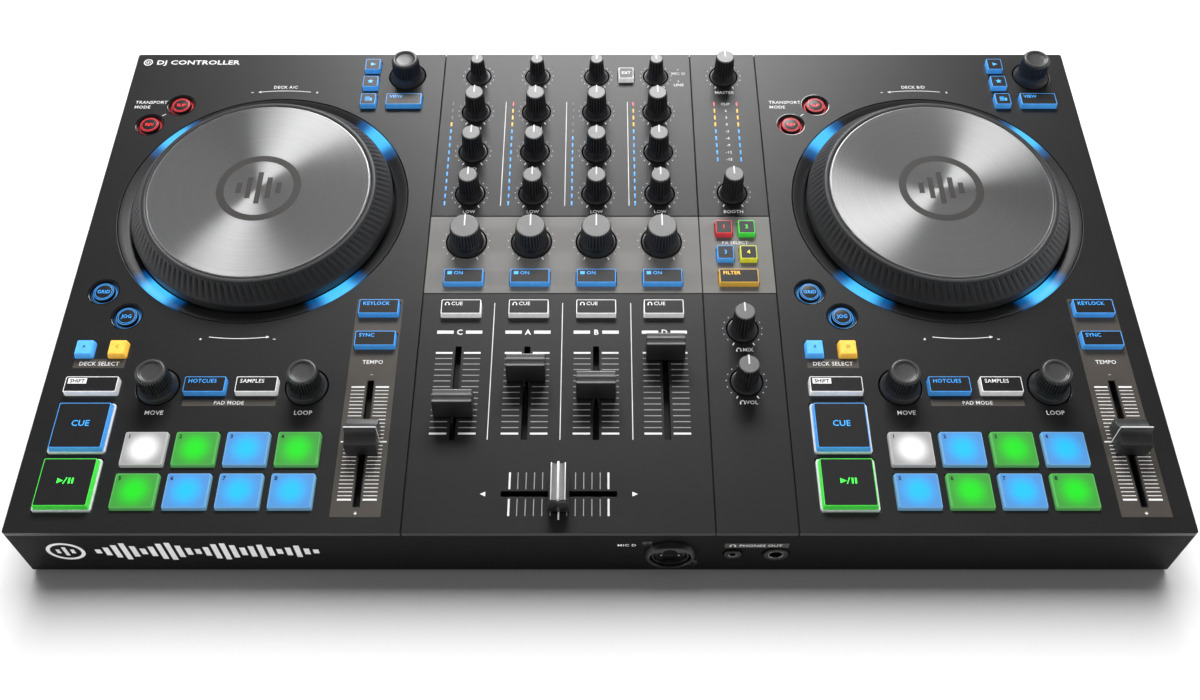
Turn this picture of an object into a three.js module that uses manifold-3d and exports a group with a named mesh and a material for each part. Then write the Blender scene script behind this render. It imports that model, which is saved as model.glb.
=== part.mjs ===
// A two-deck, four-channel DJ controller: a flat case with two jog wheels, a mixer between them, and
// performance pads in front. Millimetres; +X to the player's right, +Y away from the player, +Z up.
// The origin is on the table, under the middle of the case.
import * as THREE from "three";
import { mergeVertices } from "three/addons/utils/BufferGeometryUtils.js";
import Module from "manifold-3d";

const wasm = await Module();
wasm.setup();

// ---------------------------------------------------------------- driving dimensions

// Case
const CASE_WIDTH = 528;
const CASE_DEPTH = 297;
const FOOT_HEIGHT = 3;
const PANEL_TOP = 42.5;
const PANEL_THICKNESS = 3;
const WALL = 2.7;
const EDGE_BEVEL = 0.5;
const BASE_THICKNESS = 2;
const FIT = 0.3; // air between two pieces that touch or slide
const SEAM_WIDTH = 0.7;
const SEAM_DEPTH = 0.4;
const CROSS_SEAM_DEPTH = 0.32;
const FOOT = { length: 380, width: 14, y: 118, pocket: 1 };
const BOSS = { radius: 4, sides: 8, xs: [-236, -86, 88, 236], ys: [-112, 112] };

// Layers under the panel, measured down from its top
const UNDERSIDE = PANEL_TOP - PANEL_THICKNESS;
const SHAFT_END = PANEL_TOP - 4.7;
const CARRIER_TOP = PANEL_TOP - 7;
const CARRIER_BOTTOM = PANEL_TOP - 8.5;
const BOARD_TOP = PANEL_TOP - 10.5;
const BOARD_BOTTOM = PANEL_TOP - 12;
const BOARD = { width: 512, depth: 282 };
const POT = { size: 9, encoderSize: 12, top: SHAFT_END - FIT };
const FADER_BODY = { width: 10, extra: 8, top: PANEL_TOP - 6 };
const BEARING = { radius: 12, top: PANEL_TOP - 4.3 };

// Plan of the panel: two equal decks with the mixer between them
const DECK_X = 176;
const MIXER_HALF = 88;
const MASTER_SEAM_X = 51.2;
const EFFECT_SEAMS_Y = [30, -19.2];
const MASTER_X = 69.6;
const CHANNEL_PITCH = 33.27;
const CHANNEL_MIDDLE = -18.5;
const CHANNELS = ["c", "a", "b", "d"];

// Jog wheel
const JOG_Y = 38.15;
const JOG_HOLE = 75.3;
const JOG_SIDES = 40;
const RING_INNER = 68.3;
const RING_DIP = 1.4;
const WHEEL_RADIUS = 67.5;
const WHEEL_SHOULDER = 60.2;
const WHEEL_HEIGHT = 13;
const DISC_RADIUS = 57.3;
const DISC_RISE = 13.4;
const DISC_THICKNESS = 1.8;

// Knobs: hole, skirt, grip at its foot, grip at its top, height over the panel
const GAIN_KNOB = { hole: 7.1, skirt: 6.6, foot: 4.3, top: 3.6, height: 14.3 };
const TONE_KNOB = { hole: 8, skirt: 7.45, foot: 5.7, top: 4.9, height: 16 };
const FILTER_KNOB = { hole: 10.6, skirt: 10, foot: 8.2, top: 7.4, height: 14 };
const ENCODER_KNOB = { hole: 10.4, skirt: 9.7, foot: 8.1, top: 7, height: 14 };
const SHAFT_RADIUS = 3;
const KNOB_SIDES = 12;
const ENCODER_SIDES = 16;
const GAIN_Y = 130.8;
const TONE_Y = 103.7;
const TONE_PITCH = 29.3;
const FILTER_Y = 13.1;

// Faders
const SLOT_WIDTH = 2.7;
const STEM_WIDTH = 1.5;
const STEM_LENGTH = 4.4;
const CAP_CLEARANCE = 1;
const MIXER_CAP = { width: 18.6, foot: 10, head: 6, shoulder: 12.5, ridge: 1, height: 13.8 };
const TEMPO_CAP = { width: 14.9, foot: 14.6, head: 3, lip: 1.4, shoulder: 9.5, ridge: 1.2, height: 14 };
const CHANNEL_SLOT = { middle: -76.3, length: 51.2 };
const CROSS_SLOT = { y: -129.5, length: 52.1 };
const TEMPO_SLOT = { x: 67.1, middle: -103, length: 65.6 };
const CHANNEL_CAP_Y = { c: -85.7, a: -66.2, b: -75.8, d: -54.4 };

// Buttons
const KEY_DEPTH = 8.7;
const KEY_RISE = 3;
const KEY_DRAFT = 0.7;
const WIDE_KEY = 19.8;
const SMALL_KEY = 8.6;
const SHIFT_KEY = 25.2;
const LIT_KEY = 9;
const PAD = { width: 20, depth: 17.6, rise: 1.7, draft: 0.5, pitchX: 23.5, x: -33.1 };
const PAD_ROWS_Y = [-107.1, -128.5];
const PLAY_KEY = { width: 24.8, depth: 24.4, frame: 1, frameRise: 0.5, rise: 3.4, x: -64.3 };
const CUE_Y = -95.9;
const PLAY_Y = -125.1;
const ROUND_KEY = { hole: 7.4, top: 4.7, foot: 5.7, flange: 8.4, rise: 0.3, flangeTop: 3.4 };
const KEY_ROOT = CARRIER_TOP - 0.5; // a button's underside, inside its carrier
const BAR = 4; // width of the bars of a key carrier

// Deck layout, from the middle of the deck
const MOVE_ENCODER = { x: -33.6, y: -73.4 };
const LOOP_ENCODER = { x: 37, y: -73.4 };
const BROWSE_ENCODER = { x: 67.3, y: 131.1 };
const SPINE_X = -71.5;
const STRIP_X = 67.3;
const LINK_Y = -60;
const MODE_Y = -73.65;
const BROWSE_KEY_X = 47.4;
const BROWSE_KEY_Y = 111;
const BROWSE_KEY_PITCH = 13.4;
const DECK_KEYS = [
  { name: "view", x: STRIP_X, y: BROWSE_KEY_Y, width: WIDE_KEY },
  { name: "keylock", x: STRIP_X, y: -28.95, width: WIDE_KEY },
  { name: "sync", x: STRIP_X, y: -47.65, width: WIDE_KEY },
  { name: "hotcues", x: -10.8, y: MODE_Y, width: WIDE_KEY },
  { name: "samples", x: 13.7, y: MODE_Y, width: WIDE_KEY },
  { name: "shift", x: -64.4, y: MODE_Y, width: SHIFT_KEY },
  { name: "list", x: BROWSE_KEY_X, y: BROWSE_KEY_Y, width: SMALL_KEY },
  { name: "favourite", x: BROWSE_KEY_X, y: BROWSE_KEY_Y + BROWSE_KEY_PITCH, width: SMALL_KEY },
  { name: "preview", x: BROWSE_KEY_X, y: BROWSE_KEY_Y + 2 * BROWSE_KEY_PITCH, width: SMALL_KEY },
  { name: "deck one", x: -72.5, y: -52.7, width: LIT_KEY },
  { name: "deck two", x: -56.5, y: -52.7, width: LIT_KEY },
];
const ROUND_KEYS = [
  { name: "slip", x: -56.5, y: 108.8 },
  { name: "reverse", x: -71.2, y: 94.3 },
  { name: "grid", x: -71.4, y: -18.2 },
  { name: "jog mode", x: -56.8, y: -33 },
];

// Mixer buttons
const ON_Y = -10.3;
const LISTEN_Y = -29.1;
const EXTERNAL_KEY = { x: 14.7, y: 130.9 };
const EFFECT_KEYS_X = [63.7, 75.4];
const EFFECT_KEYS_Y = [20.8, 4.5];

// Sockets
const SOCKET_PROUD = 3;
const MIC = { x: 31.8, z: 22, collar: 12, face: 10.4, cavity: 9.7, insert: 7.8, back: -122 };
const MIC_GROOVE = 12; // depth of the round groove
const MIC_NOTCH = 34; // width of the board's notch round the socket
const JACK = { ring: 5.7, bore: 3.2, depth: 18 };
const MINI_JACK = { ring: 4, bore: 1.8, depth: 14 };
const PHONES = { jackX: 79.6, miniX: 60.1, z: 21.5, back: -130, side: 8, height: 14, proud: 1 };
const PHONO = { ring: 4.1, bore: 1.6, depth: 9, rise: 6 };
const REAR_Z = 20;
const REAR_BLOCK = { left: -78, right: 238, front: 128, back: 145.4, bottom: 10, top: 29.8 };
const LINE_IN_X = [-60, -35];
const BOOTH_X = [20, 42];
const MASTER_JACK_X = [75, 97];
const MASTER_PHONO_X = 125;
const USB = { x: 185, width: 12, height: 10.8, mouth: 8.6, mouthHeight: 8, depth: 12 };
const USB_TONGUE = { width: 5.6, height: 3.2 };
const POWER = { x: 222, ring: 5.4, bore: 3.2, pin: 1, depth: 10 };
const SOCKET_SIDES = 12;

// ---------------------------------------------------------------- materials

const look = (color, roughness, metalness = 0) =>
  new THREE.MeshStandardMaterial({ color, roughness, metalness });
const casePlastic = () => look(0x3a3a3b, 0.5);
const basePlastic = () => look(0x1c1c1d, 0.6);
const knobPlastic = () => look(0x16171a, 0.4);
const capPlastic = () => look(0x3c3d40, 0.35);
const keyPlastic = () => look(0x2f7fd0, 0.45);
const playPlastic = () => look(0x45c24a, 0.45);
const padRubber = () => look(0x8fd0f0, 0.5);
const wheelRubber = () => look(0x1a1b1d, 0.5);
const discMetal = () => look(0x9c9c9e, 0.28, 1);
const ringPlastic = () => look(0x2b2f34, 0.25);
const socketPlastic = () => look(0x121213, 0.35);
const footRubber = () => look(0x101010, 0.85);
const boardGreen = () => look(0x1d5a34, 0.6);

// ---------------------------------------------------------------- solids

function toSolid(geometry) {
  const bare = geometry.clone();
  bare.deleteAttribute("normal");
  bare.deleteAttribute("uv");
  const merged = mergeVertices(bare, 1e-4);
  const vertProperties = merged.attributes.position.array;
  const triVerts = new Uint32Array(merged.index.array);
  return new wasm.Manifold(new wasm.Mesh({ numProp: 3, vertProperties, triVerts }));
}

function toGeometry(solid) {
  const { vertProperties, triVerts } = solid.getMesh();
  const geometry = new THREE.BufferGeometry();
  geometry.setAttribute("position", new THREE.BufferAttribute(vertProperties, 3));
  geometry.setIndex(new THREE.BufferAttribute(triVerts, 1));
  geometry.computeVertexNormals();
  return geometry;
}

const join = (solids) => solids.reduce((whole, piece) => whole.add(piece));

// A block from its lowest to its highest corner.
function block([x0, x1], [y0, y1], [z0, z1]) {
  const geometry = new THREE.BoxGeometry(x1 - x0, y1 - y0, z1 - z0);
  return toSolid(geometry.translate((x0 + x1) / 2, (y0 + y1) / 2, (z0 + z1) / 2));
}

const around = (middle, size) => [middle - size / 2, middle + size / 2];

// An upright round pin.
function pin(radius, bottom, top, { x = 0, y = 0 }, sides = KNOB_SIDES) {
  const geometry = new THREE.CylinderGeometry(radius, radius, top - bottom, sides);
  return toSolid(geometry.rotateX(Math.PI / 2).translate(x, y, (bottom + top) / 2));
}

// A round barrel that lies along Y, from front to back; it can taper towards its front.
function barrel(radius, front, back, x, z, frontRadius = radius) {
  const geometry = new THREE.CylinderGeometry(radius, frontRadius, back - front, SOCKET_SIDES);
  return toSolid(geometry.translate(x, (front + back) / 2, z));
}

// A body of revolution about +Z; the outline runs from the bottom of the axis, outwards and up.
function turned(outline, sides) {
  const points = outline.map(([r, z]) => new THREE.Vector2(r, z));
  return toSolid(new THREE.LatheGeometry(points, sides).rotateX(Math.PI / 2));
}

function named(name, solid, material, { x = 0, y = 0, z = 0 } = {}) {
  const mesh = new THREE.Mesh(toGeometry(solid), material);
  mesh.name = name;
  mesh.position.set(x, y, z);
  return mesh;
}

// ---------------------------------------------------------------- places

const channelX = (index) => CHANNEL_MIDDLE + (index - 1.5) * CHANNEL_PITCH;
const toneY = (row) => TONE_Y - row * TONE_PITCH;
const padX = (column) => PAD.x + column * PAD.pitchX;

const mixerKnobs = [
  ...CHANNELS.flatMap((channel, i) => [
    { name: `gain_knob_${channel}`, kind: GAIN_KNOB, x: channelX(i), y: GAIN_Y },
    { name: `high_knob_${channel}`, kind: TONE_KNOB, x: channelX(i), y: toneY(0) },
    { name: `mid_knob_${channel}`, kind: TONE_KNOB, x: channelX(i), y: toneY(1) },
    { name: `low_knob_${channel}`, kind: TONE_KNOB, x: channelX(i), y: toneY(2) },
    { name: `filter_knob_${channel}`, kind: FILTER_KNOB, x: channelX(i), y: FILTER_Y },
  ]),
  { name: "master_knob", kind: TONE_KNOB, x: MASTER_X, y: GAIN_Y },
  { name: "booth_knob", kind: TONE_KNOB, x: MASTER_X, y: 45.6 },
  { name: "phones_mix_knob", kind: TONE_KNOB, x: MASTER_X, y: -40.7 },
  { name: "phones_volume_knob", kind: TONE_KNOB, x: MASTER_X, y: -70.6 },
];

const mixerKeys = [
  ...CHANNELS.map((channel, i) => ({ x: channelX(i), y: ON_Y, width: WIDE_KEY })),
  ...CHANNELS.map((channel, i) => ({ x: channelX(i), y: LISTEN_Y, width: WIDE_KEY })),
  ...EFFECT_KEYS_X.flatMap((x) => EFFECT_KEYS_Y.map((y) => ({ x, y, width: SMALL_KEY }))),
  { x: MASTER_X, y: ON_Y, width: WIDE_KEY },
  { ...EXTERNAL_KEY, width: SMALL_KEY },
];

const keyDepth = (key) => (key.width > LIT_KEY ? KEY_DEPTH : key.width);
const deckEncoders = { browse: BROWSE_ENCODER, move: MOVE_ENCODER, loop: LOOP_ENCODER };
const onDeck = (side, place) => ({ ...place, x: place.x + side * DECK_X });

// ---------------------------------------------------------------- case

// An opening through the whole thickness of the panel.
const THROUGH = [UNDERSIDE - 1, PANEL_TOP + 1];
const roundOpening = (radius, place, sides) => pin(radius, ...THROUGH, place, sides);
const squareOpening = (place, width, depth) =>
  block(around(place.x, width + 2 * FIT), around(place.y, depth + 2 * FIT), THROUGH);

function deckOpenings(side) {
  const at = (place) => onDeck(side, place);
  const pads = PAD_ROWS_Y.flatMap((y) => [0, 1, 2, 3].map((column) => ({ x: padX(column), y })));
  const playWidth = PLAY_KEY.width + 2 * PLAY_KEY.frame;
  const playDepth = PLAY_KEY.depth + 2 * PLAY_KEY.frame;
  return [
    roundOpening(JOG_HOLE, at({ x: 0, y: JOG_Y }), JOG_SIDES),
    ...Object.values(deckEncoders).map((e) => roundOpening(ENCODER_KNOB.hole, at(e), ENCODER_SIDES)),
    ...ROUND_KEYS.map((key) => roundOpening(ROUND_KEY.hole, at(key))),
    ...DECK_KEYS.map((key) => squareOpening(at(key), key.width, keyDepth(key))),
    ...pads.map((pad) => squareOpening(at(pad), PAD.width, PAD.depth)),
    ...[CUE_Y, PLAY_Y].map((y) => squareOpening(at({ x: PLAY_KEY.x, y }), playWidth, playDepth)),
    block(
      around(side * DECK_X + TEMPO_SLOT.x, SLOT_WIDTH),
      around(TEMPO_SLOT.middle, TEMPO_SLOT.length),
      THROUGH,
    ),
  ];
}

function mixerOpenings() {
  return [
    ...mixerKnobs.map((knob) => roundOpening(knob.kind.hole, knob)),
    ...mixerKeys.map((key) => squareOpening(key, key.width, keyDepth(key))),
    ...CHANNELS.map((channel, i) =>
      block(
        around(channelX(i), SLOT_WIDTH),
        around(CHANNEL_SLOT.middle, CHANNEL_SLOT.length),
        THROUGH,
      ),
    ),
    block(around(CHANNEL_MIDDLE, CROSS_SLOT.length), around(CROSS_SLOT.y, SLOT_WIDTH), THROUGH),
  ];
}

// Shallow grooves that split the panel into decks, mixer, master strip and effect band. Those across
// the panel are a little shallower than those along it.
function seams() {
  const along = [PANEL_TOP - SEAM_DEPTH, PANEL_TOP + 1];
  const across = [PANEL_TOP - CROSS_SEAM_DEPTH, PANEL_TOP + 1];
  const length = CASE_DEPTH - 6 * EDGE_BEVEL;
  const uprights = [-MIXER_HALF, MASTER_SEAM_X, MIXER_HALF];
  return [
    ...uprights.map((x) => block(around(x, SEAM_WIDTH), around(0, length), along)),
    ...EFFECT_SEAMS_Y.map((y) => block(around(0, 2 * MIXER_HALF), around(y, SEAM_WIDTH), across)),
  ];
}

function wallOpenings() {
  const front = -CASE_DEPTH / 2 - 1;
  const frontEnd = -CASE_DEPTH / 2 + WALL + 1;
  const rear = CASE_DEPTH / 2 - WALL - 1;
  const rearEnd = CASE_DEPTH / 2 + 1;
  const phonoHoles = [...LINE_IN_X, MASTER_PHONO_X].flatMap((x) =>
    [-1, 1].map((level) =>
      barrel(PHONO.ring + FIT, rear, rearEnd, x, REAR_Z + level * PHONO.rise),
    ),
  );
  const jackHoles = [...BOOTH_X, ...MASTER_JACK_X].map((x) =>
    barrel(JACK.ring + FIT, rear, rearEnd, x, REAR_Z),
  );
  return [
    barrel(MIC.face + FIT, front, frontEnd, MIC.x, MIC.z),
    barrel(JACK.ring + FIT, front, frontEnd, PHONES.jackX, PHONES.z),
    barrel(MINI_JACK.ring + FIT, front, frontEnd, PHONES.miniX, PHONES.z),
    barrel(POWER.ring + FIT, rear, rearEnd, POWER.x, REAR_Z),
    block(
      around(USB.x, USB.width + 2 * FIT),
      [rear, rearEnd],
      around(REAR_Z, USB.height + 2 * FIT),
    ),
    ...phonoHoles,
    ...jackHoles,
  ];
}

// The panel and the four walls are one moulding, open underneath.
function topCase() {
  const outline = new THREE.Shape();
  const halfWidth = CASE_WIDTH / 2 - EDGE_BEVEL;
  const halfDepth = CASE_DEPTH / 2 - EDGE_BEVEL;
  outline.moveTo(-halfWidth, -halfDepth);
  outline.lineTo(halfWidth, -halfDepth);
  outline.lineTo(halfWidth, halfDepth);
  outline.lineTo(-halfWidth, halfDepth);
  outline.closePath();
  const outside = new THREE.ExtrudeGeometry(outline, {
    depth: PANEL_TOP - FOOT_HEIGHT - 2 * EDGE_BEVEL,
    bevelThickness: EDGE_BEVEL,
    bevelSize: EDGE_BEVEL,
    bevelSegments: 1,
  }).translate(0, 0, FOOT_HEIGHT + EDGE_BEVEL);
  const inside = block(
    around(0, CASE_WIDTH - 2 * WALL),
    around(0, CASE_DEPTH - 2 * WALL),
    [FOOT_HEIGHT - 1, UNDERSIDE],
  );
  const openings = [
    ...deckOpenings(-1),
    ...deckOpenings(1),
    ...mixerOpenings(),
    ...seams(),
    ...wallOpenings(),
  ];
  const shell = toSolid(outside).subtract(inside);
  return named("top_case", shell.subtract(join(openings)), casePlastic());
}

function bottomCase() {
  const plate = block(
    around(0, CASE_WIDTH - 2 * WALL - 2 * FIT),
    around(0, CASE_DEPTH - 2 * WALL - 2 * FIT),
    [FOOT_HEIGHT, FOOT_HEIGHT + BASE_THICKNESS],
  );
  const bosses = BOSS.xs.flatMap((x) =>
    BOSS.ys.map((y) => pin(BOSS.radius, FOOT_HEIGHT + 1, BOARD_BOTTOM - FIT, { x, y }, BOSS.sides)),
  );
  const pockets = [-1, 1].map((side) =>
    block(
      around(0, FOOT.length + 2 * FIT),
      around(side * FOOT.y, FOOT.width + 2 * FIT),
      [FOOT_HEIGHT - 1, FOOT_HEIGHT + FOOT.pocket],
    ),
  );
  const solid = join([plate, ...bosses]).subtract(join(pockets));
  return named("bottom_case", solid, basePlastic());
}

function rubberFoot(name, side) {
  const top = FOOT_HEIGHT + FOOT.pocket - FIT;
  const solid = block(around(0, FOOT.length), around(0, FOOT.width), [0, top]);
  return named(name, solid, footRubber(), { y: side * FOOT.y });
}

// ---------------------------------------------------------------- board under the panel

function mainBoard() {
  const plate = block(around(0, BOARD.width), around(0, BOARD.depth), [BOARD_BOTTOM, BOARD_TOP]);
  const notch = [-CASE_DEPTH / 2, MIC.back + 4];
  const micNotch = block(around(MIC.x, MIC_NOTCH), notch, [BOARD_BOTTOM - 1, BOARD_TOP + 1]);
  const raised = (place, width, depth, top) =>
    block(around(place.x, width), around(place.y, depth), [BOARD_BOTTOM + 0.5, top]);
  const pots = mixerKnobs.map((knob) => raised(knob, POT.size, POT.size, POT.top));
  const { width, extra, top } = FADER_BODY;
  const faders = CHANNELS.map((channel, i) =>
    raised({ x: channelX(i), y: CHANNEL_SLOT.middle }, width, CHANNEL_SLOT.length + extra, top),
  );
  const cross = { x: CHANNEL_MIDDLE, y: CROSS_SLOT.y };
  faders.push(raised(cross, CROSS_SLOT.length + extra, width, top));
  const decks = [-1, 1].flatMap((side) => [
    ...Object.values(deckEncoders).map((encoder) =>
      raised(onDeck(side, encoder), POT.encoderSize, POT.encoderSize, POT.top),
    ),
    raised(
      onDeck(side, { x: TEMPO_SLOT.x, y: TEMPO_SLOT.middle }),
      width,
      TEMPO_SLOT.length + extra,
      top,
    ),
    pin(BEARING.radius, BOARD_BOTTOM + 0.5, BEARING.top, { x: side * DECK_X, y: JOG_Y }),
  ]);
  const solid = join([plate, ...pots, ...faders, ...decks]).subtract(micNotch);
  return named("main_board", solid, boardGreen());
}

// ---------------------------------------------------------------- jog wheels

// A translucent ring in the panel, sloping down towards the wheel, with a flange under the panel.
function lightRing(name, x) {
  const outer = JOG_HOLE - FIT;
  const flange = JOG_HOLE + 2.7;
  const solid = turned(
    [
      [RING_INNER, -RING_DIP],
      [RING_INNER, -5],
      [flange, -5],
      [flange, -PANEL_THICKNESS - FIT],
      [outer, -PANEL_THICKNESS - FIT],
      [outer, -0.1],
      [RING_INNER, -RING_DIP],
    ],
    JOG_SIDES,
  );
  return named(name, solid, ringPlastic(), { x, y: JOG_Y, z: PANEL_TOP });
}

// The wheel's ribbed body: a hub on the bearing, a wide base and a slope up to the disc's seat.
function jogRim(name, x) {
  const seat = DISC_RISE - DISC_THICKNESS - FIT;
  const seatRadius = DISC_RADIUS + FIT;
  const solid = turned(
    [
      [0, -4],
      [8, -4],
      [8, -2],
      [WHEEL_RADIUS, -2],
      [WHEEL_RADIUS, 3.6],
      [WHEEL_SHOULDER, WHEEL_HEIGHT - 0.6],
      [WHEEL_SHOULDER - 1, WHEEL_HEIGHT],
      [seatRadius, WHEEL_HEIGHT],
      [seatRadius, seat],
      [0, seat],
    ],
    JOG_SIDES,
  );
  return named(name, solid, wheelRubber(), { x, y: JOG_Y, z: PANEL_TOP });
}

function jogDisc(name, x) {
  const bevel = 0.4;
  const solid = turned(
    [
      [0, DISC_RISE - DISC_THICKNESS],
      [DISC_RADIUS, DISC_RISE - DISC_THICKNESS],
      [DISC_RADIUS, DISC_RISE - bevel],
      [DISC_RADIUS - bevel, DISC_RISE],
      [0, DISC_RISE],
    ],
    JOG_SIDES,
  );
  return named(name, solid, discMetal(), { x, y: JOG_Y, z: PANEL_TOP });
}

// ---------------------------------------------------------------- knobs and encoders

// A skirt that turns inside the panel's opening, a tapering grip, and the shaft under it.
function knob(name, kind, place, sides = KNOB_SIDES) {
  const solid = turned(
    [
      [0, SHAFT_END - PANEL_TOP],
      [SHAFT_RADIUS, SHAFT_END - PANEL_TOP],
      [SHAFT_RADIUS, -1.2],
      [kind.skirt, -1.2],
      [kind.skirt, 0.3],
      [kind.foot, 3.2],
      [kind.top, kind.height],
      [0, kind.height],
    ],
    sides,
  );
  return named(name, solid, knobPlastic(), { x: place.x, y: place.y, z: PANEL_TOP });
}

// ---------------------------------------------------------------- faders

// A closed profile from its right half, listed from the bottom up.
function mirrored(half) {
  const right = half.map(([x, y]) => new THREE.Vector2(x, y));
  const left = right.map((point) => new THREE.Vector2(-point.x, point.y));
  return new THREE.Shape([...right, ...left.reverse()]);
}

// A cap that slides along Y: its profile drawn along X, on a thin stem that stands in the slot.
function capOnStem(name, profile, width, place) {
  const body = new THREE.ExtrudeGeometry(profile, { depth: width, bevelEnabled: false });
  body.translate(0, 0, -width / 2).rotateX(Math.PI / 2).rotateZ(Math.PI / 2);
  const stem = block(
    around(0, STEM_WIDTH),
    around(0, STEM_LENGTH),
    [FADER_BODY.top - PANEL_TOP + FIT, CAP_CLEARANCE + 1],
  );
  return named(name, toSolid(body).add(stem), capPlastic(), { ...place, z: PANEL_TOP });
}

// The mixer's caps are tapering blocks with a ridge across their tops.
function mixerCap(name, place, alongX = false) {
  const { width, foot, head, shoulder, ridge, height } = MIXER_CAP;
  const profile = mirrored([
    [foot / 2, CAP_CLEARANCE],
    [head / 2, shoulder],
    [ridge / 2, shoulder + 0.3],
    [ridge / 2, height],
  ]);
  const mesh = capOnStem(name, profile, width, place);
  mesh.rotation.z = alongX ? Math.PI / 2 : 0;
  return mesh;
}

// The tempo cap is a deeper block whose concave flanks rise to the ridge.
function tempoCap(name, x) {
  const { width, foot, head, lip, shoulder, ridge, height } = TEMPO_CAP;
  const flank = new THREE.QuadraticBezierCurve(
    new THREE.Vector2(foot / 2 - lip, shoulder),
    new THREE.Vector2(head / 2, shoulder + 0.4),
    new THREE.Vector2(ridge / 2, height),
  ).getPoints(3);
  const profile = mirrored([
    [foot / 2, CAP_CLEARANCE],
    [foot / 2, shoulder - 0.3],
    ...flank.map((point) => [point.x, point.y]),
  ]);
  return capOnStem(name, profile, width, { x, y: TEMPO_SLOT.middle });
}

// ---------------------------------------------------------------- buttons

// A button: straight inside its opening, then drawn in towards its top.
function keyBlock(place, width, depth, rise, draft = KEY_DRAFT) {
  const geometry = new THREE.BoxGeometry(width, depth, 2, 1, 1, 2);
  const corners = geometry.attributes.position;
  for (let i = 0; i < corners.count; i += 1) {
    const level = Math.round(corners.getZ(i));
    const inward = level > 0 ? 1 - (2 * draft) / width : 1;
    const inwardY = level > 0 ? 1 - (2 * draft) / depth : 1;
    const z = [KEY_ROOT, PANEL_TOP, PANEL_TOP + rise][level + 1];
    corners.setXYZ(i, corners.getX(i) * inward, corners.getY(i) * inwardY, z);
  }
  return toSolid(geometry.translate(place.x, place.y, 0));
}

// A round button with a flange that closes its opening from below.
function roundKey(place) {
  const { top, foot, flange, rise, flangeTop } = ROUND_KEY;
  const solid = turned(
    [
      [0, KEY_ROOT - PANEL_TOP],
      [flange, KEY_ROOT - PANEL_TOP],
      [flange, -flangeTop],
      [foot, -flangeTop],
      [top, rise],
      [0, rise],
    ],
    KNOB_SIDES,
  );
  return solid.translate([place.x, place.y, PANEL_TOP]);
}

// A bar of the carrier that joins buttons below the panel.
const bar = ([x0, x1], [y0, y1]) => block([x0, x1], [y0, y1], [CARRIER_BOTTOM, CARRIER_TOP]);
const barAlongX = (x0, x1, y) => bar([x0 - BAR / 2, x1 + BAR / 2], around(y, BAR));
const barAlongY = (x, y0, y1) => bar(around(x, BAR), [y0 - BAR / 2, y1 + BAR / 2]);

// The small buttons of a deck, on one carrier that runs round the jog wheel.
function deckKeys(name, side) {
  const keys = DECK_KEYS.map((key) => keyBlock(key, key.width, keyDepth(key), KEY_RISE));
  const slip = ROUND_KEYS.find((key) => key.name === "slip");
  const jogMode = ROUND_KEYS.find((key) => key.name === "jog mode");
  const deckTwo = DECK_KEYS.find((key) => key.name === "deck two");
  const hotcues = DECK_KEYS.find((key) => key.name === "hotcues");
  const samples = DECK_KEYS.find((key) => key.name === "samples");
  const preview = DECK_KEYS.find((key) => key.name === "preview");
  const carrier = [
    barAlongY(SPINE_X, MODE_Y, slip.y),
    barAlongX(SPINE_X, slip.x, slip.y),
    barAlongX(SPINE_X, jogMode.x, jogMode.y),
    barAlongX(SPINE_X, deckTwo.x, deckTwo.y),
    barAlongX(SPINE_X, STRIP_X, LINK_Y),
    barAlongY(hotcues.x, MODE_Y, LINK_Y),
    barAlongY(samples.x, MODE_Y, LINK_Y),
    barAlongY(STRIP_X, LINK_Y, BROWSE_KEY_Y),
    barAlongX(BROWSE_KEY_X, STRIP_X, BROWSE_KEY_Y),
    barAlongY(BROWSE_KEY_X, BROWSE_KEY_Y, preview.y),
  ];
  const solid = join([...carrier, ...keys, ...ROUND_KEYS.map(roundKey)]);
  return named(name, solid, keyPlastic(), { x: side * DECK_X });
}

// The eight pads are one moulding on a mat.
function pads(name, side) {
  const mat = bar(
    [padX(0) - PAD.width / 2, padX(3) + PAD.width / 2],
    [PAD_ROWS_Y[1] - PAD.depth / 2, PAD_ROWS_Y[0] + PAD.depth / 2],
  );
  const faces = PAD_ROWS_Y.flatMap((y) =>
    [0, 1, 2, 3].map((column) =>
      keyBlock({ x: padX(column), y }, PAD.width, PAD.depth, PAD.rise, PAD.draft),
    ),
  );
  return named(name, join([mat, ...faces]), padRubber(), { x: side * DECK_X });
}

// A large square button in its own low frame.
function playKey(name, side, y, material) {
  const { width, depth, frame, frameRise, rise, x } = PLAY_KEY;
  const place = { x: 0, y: 0 };
  const base = keyBlock(place, width + 2 * frame, depth + 2 * frame, frameRise, 0.3);
  const face = keyBlock(place, width, depth, rise);
  return named(name, base.add(face), material, { x: side * DECK_X + x, y });
}

function mixerKeypad() {
  const keys = mixerKeys.map((key) => keyBlock(key, key.width, keyDepth(key), KEY_RISE));
  const carrier = [
    barAlongX(channelX(0), MASTER_X, ON_Y),
    ...CHANNELS.map((channel, i) => barAlongY(channelX(i), LISTEN_Y, ON_Y)),
    barAlongY(MASTER_X, ON_Y, EFFECT_KEYS_Y[0]),
    ...EFFECT_KEYS_Y.map((y) => barAlongX(...EFFECT_KEYS_X, y)),
    barAlongY(EXTERNAL_KEY.x, ON_Y, EXTERNAL_KEY.y),
  ];
  return named("mixer_keys", join([...carrier, ...keys]), keyPlastic());
}

// ---------------------------------------------------------------- sockets

const FRONT = -CASE_DEPTH / 2;
const REAR = CASE_DEPTH / 2;

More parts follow.
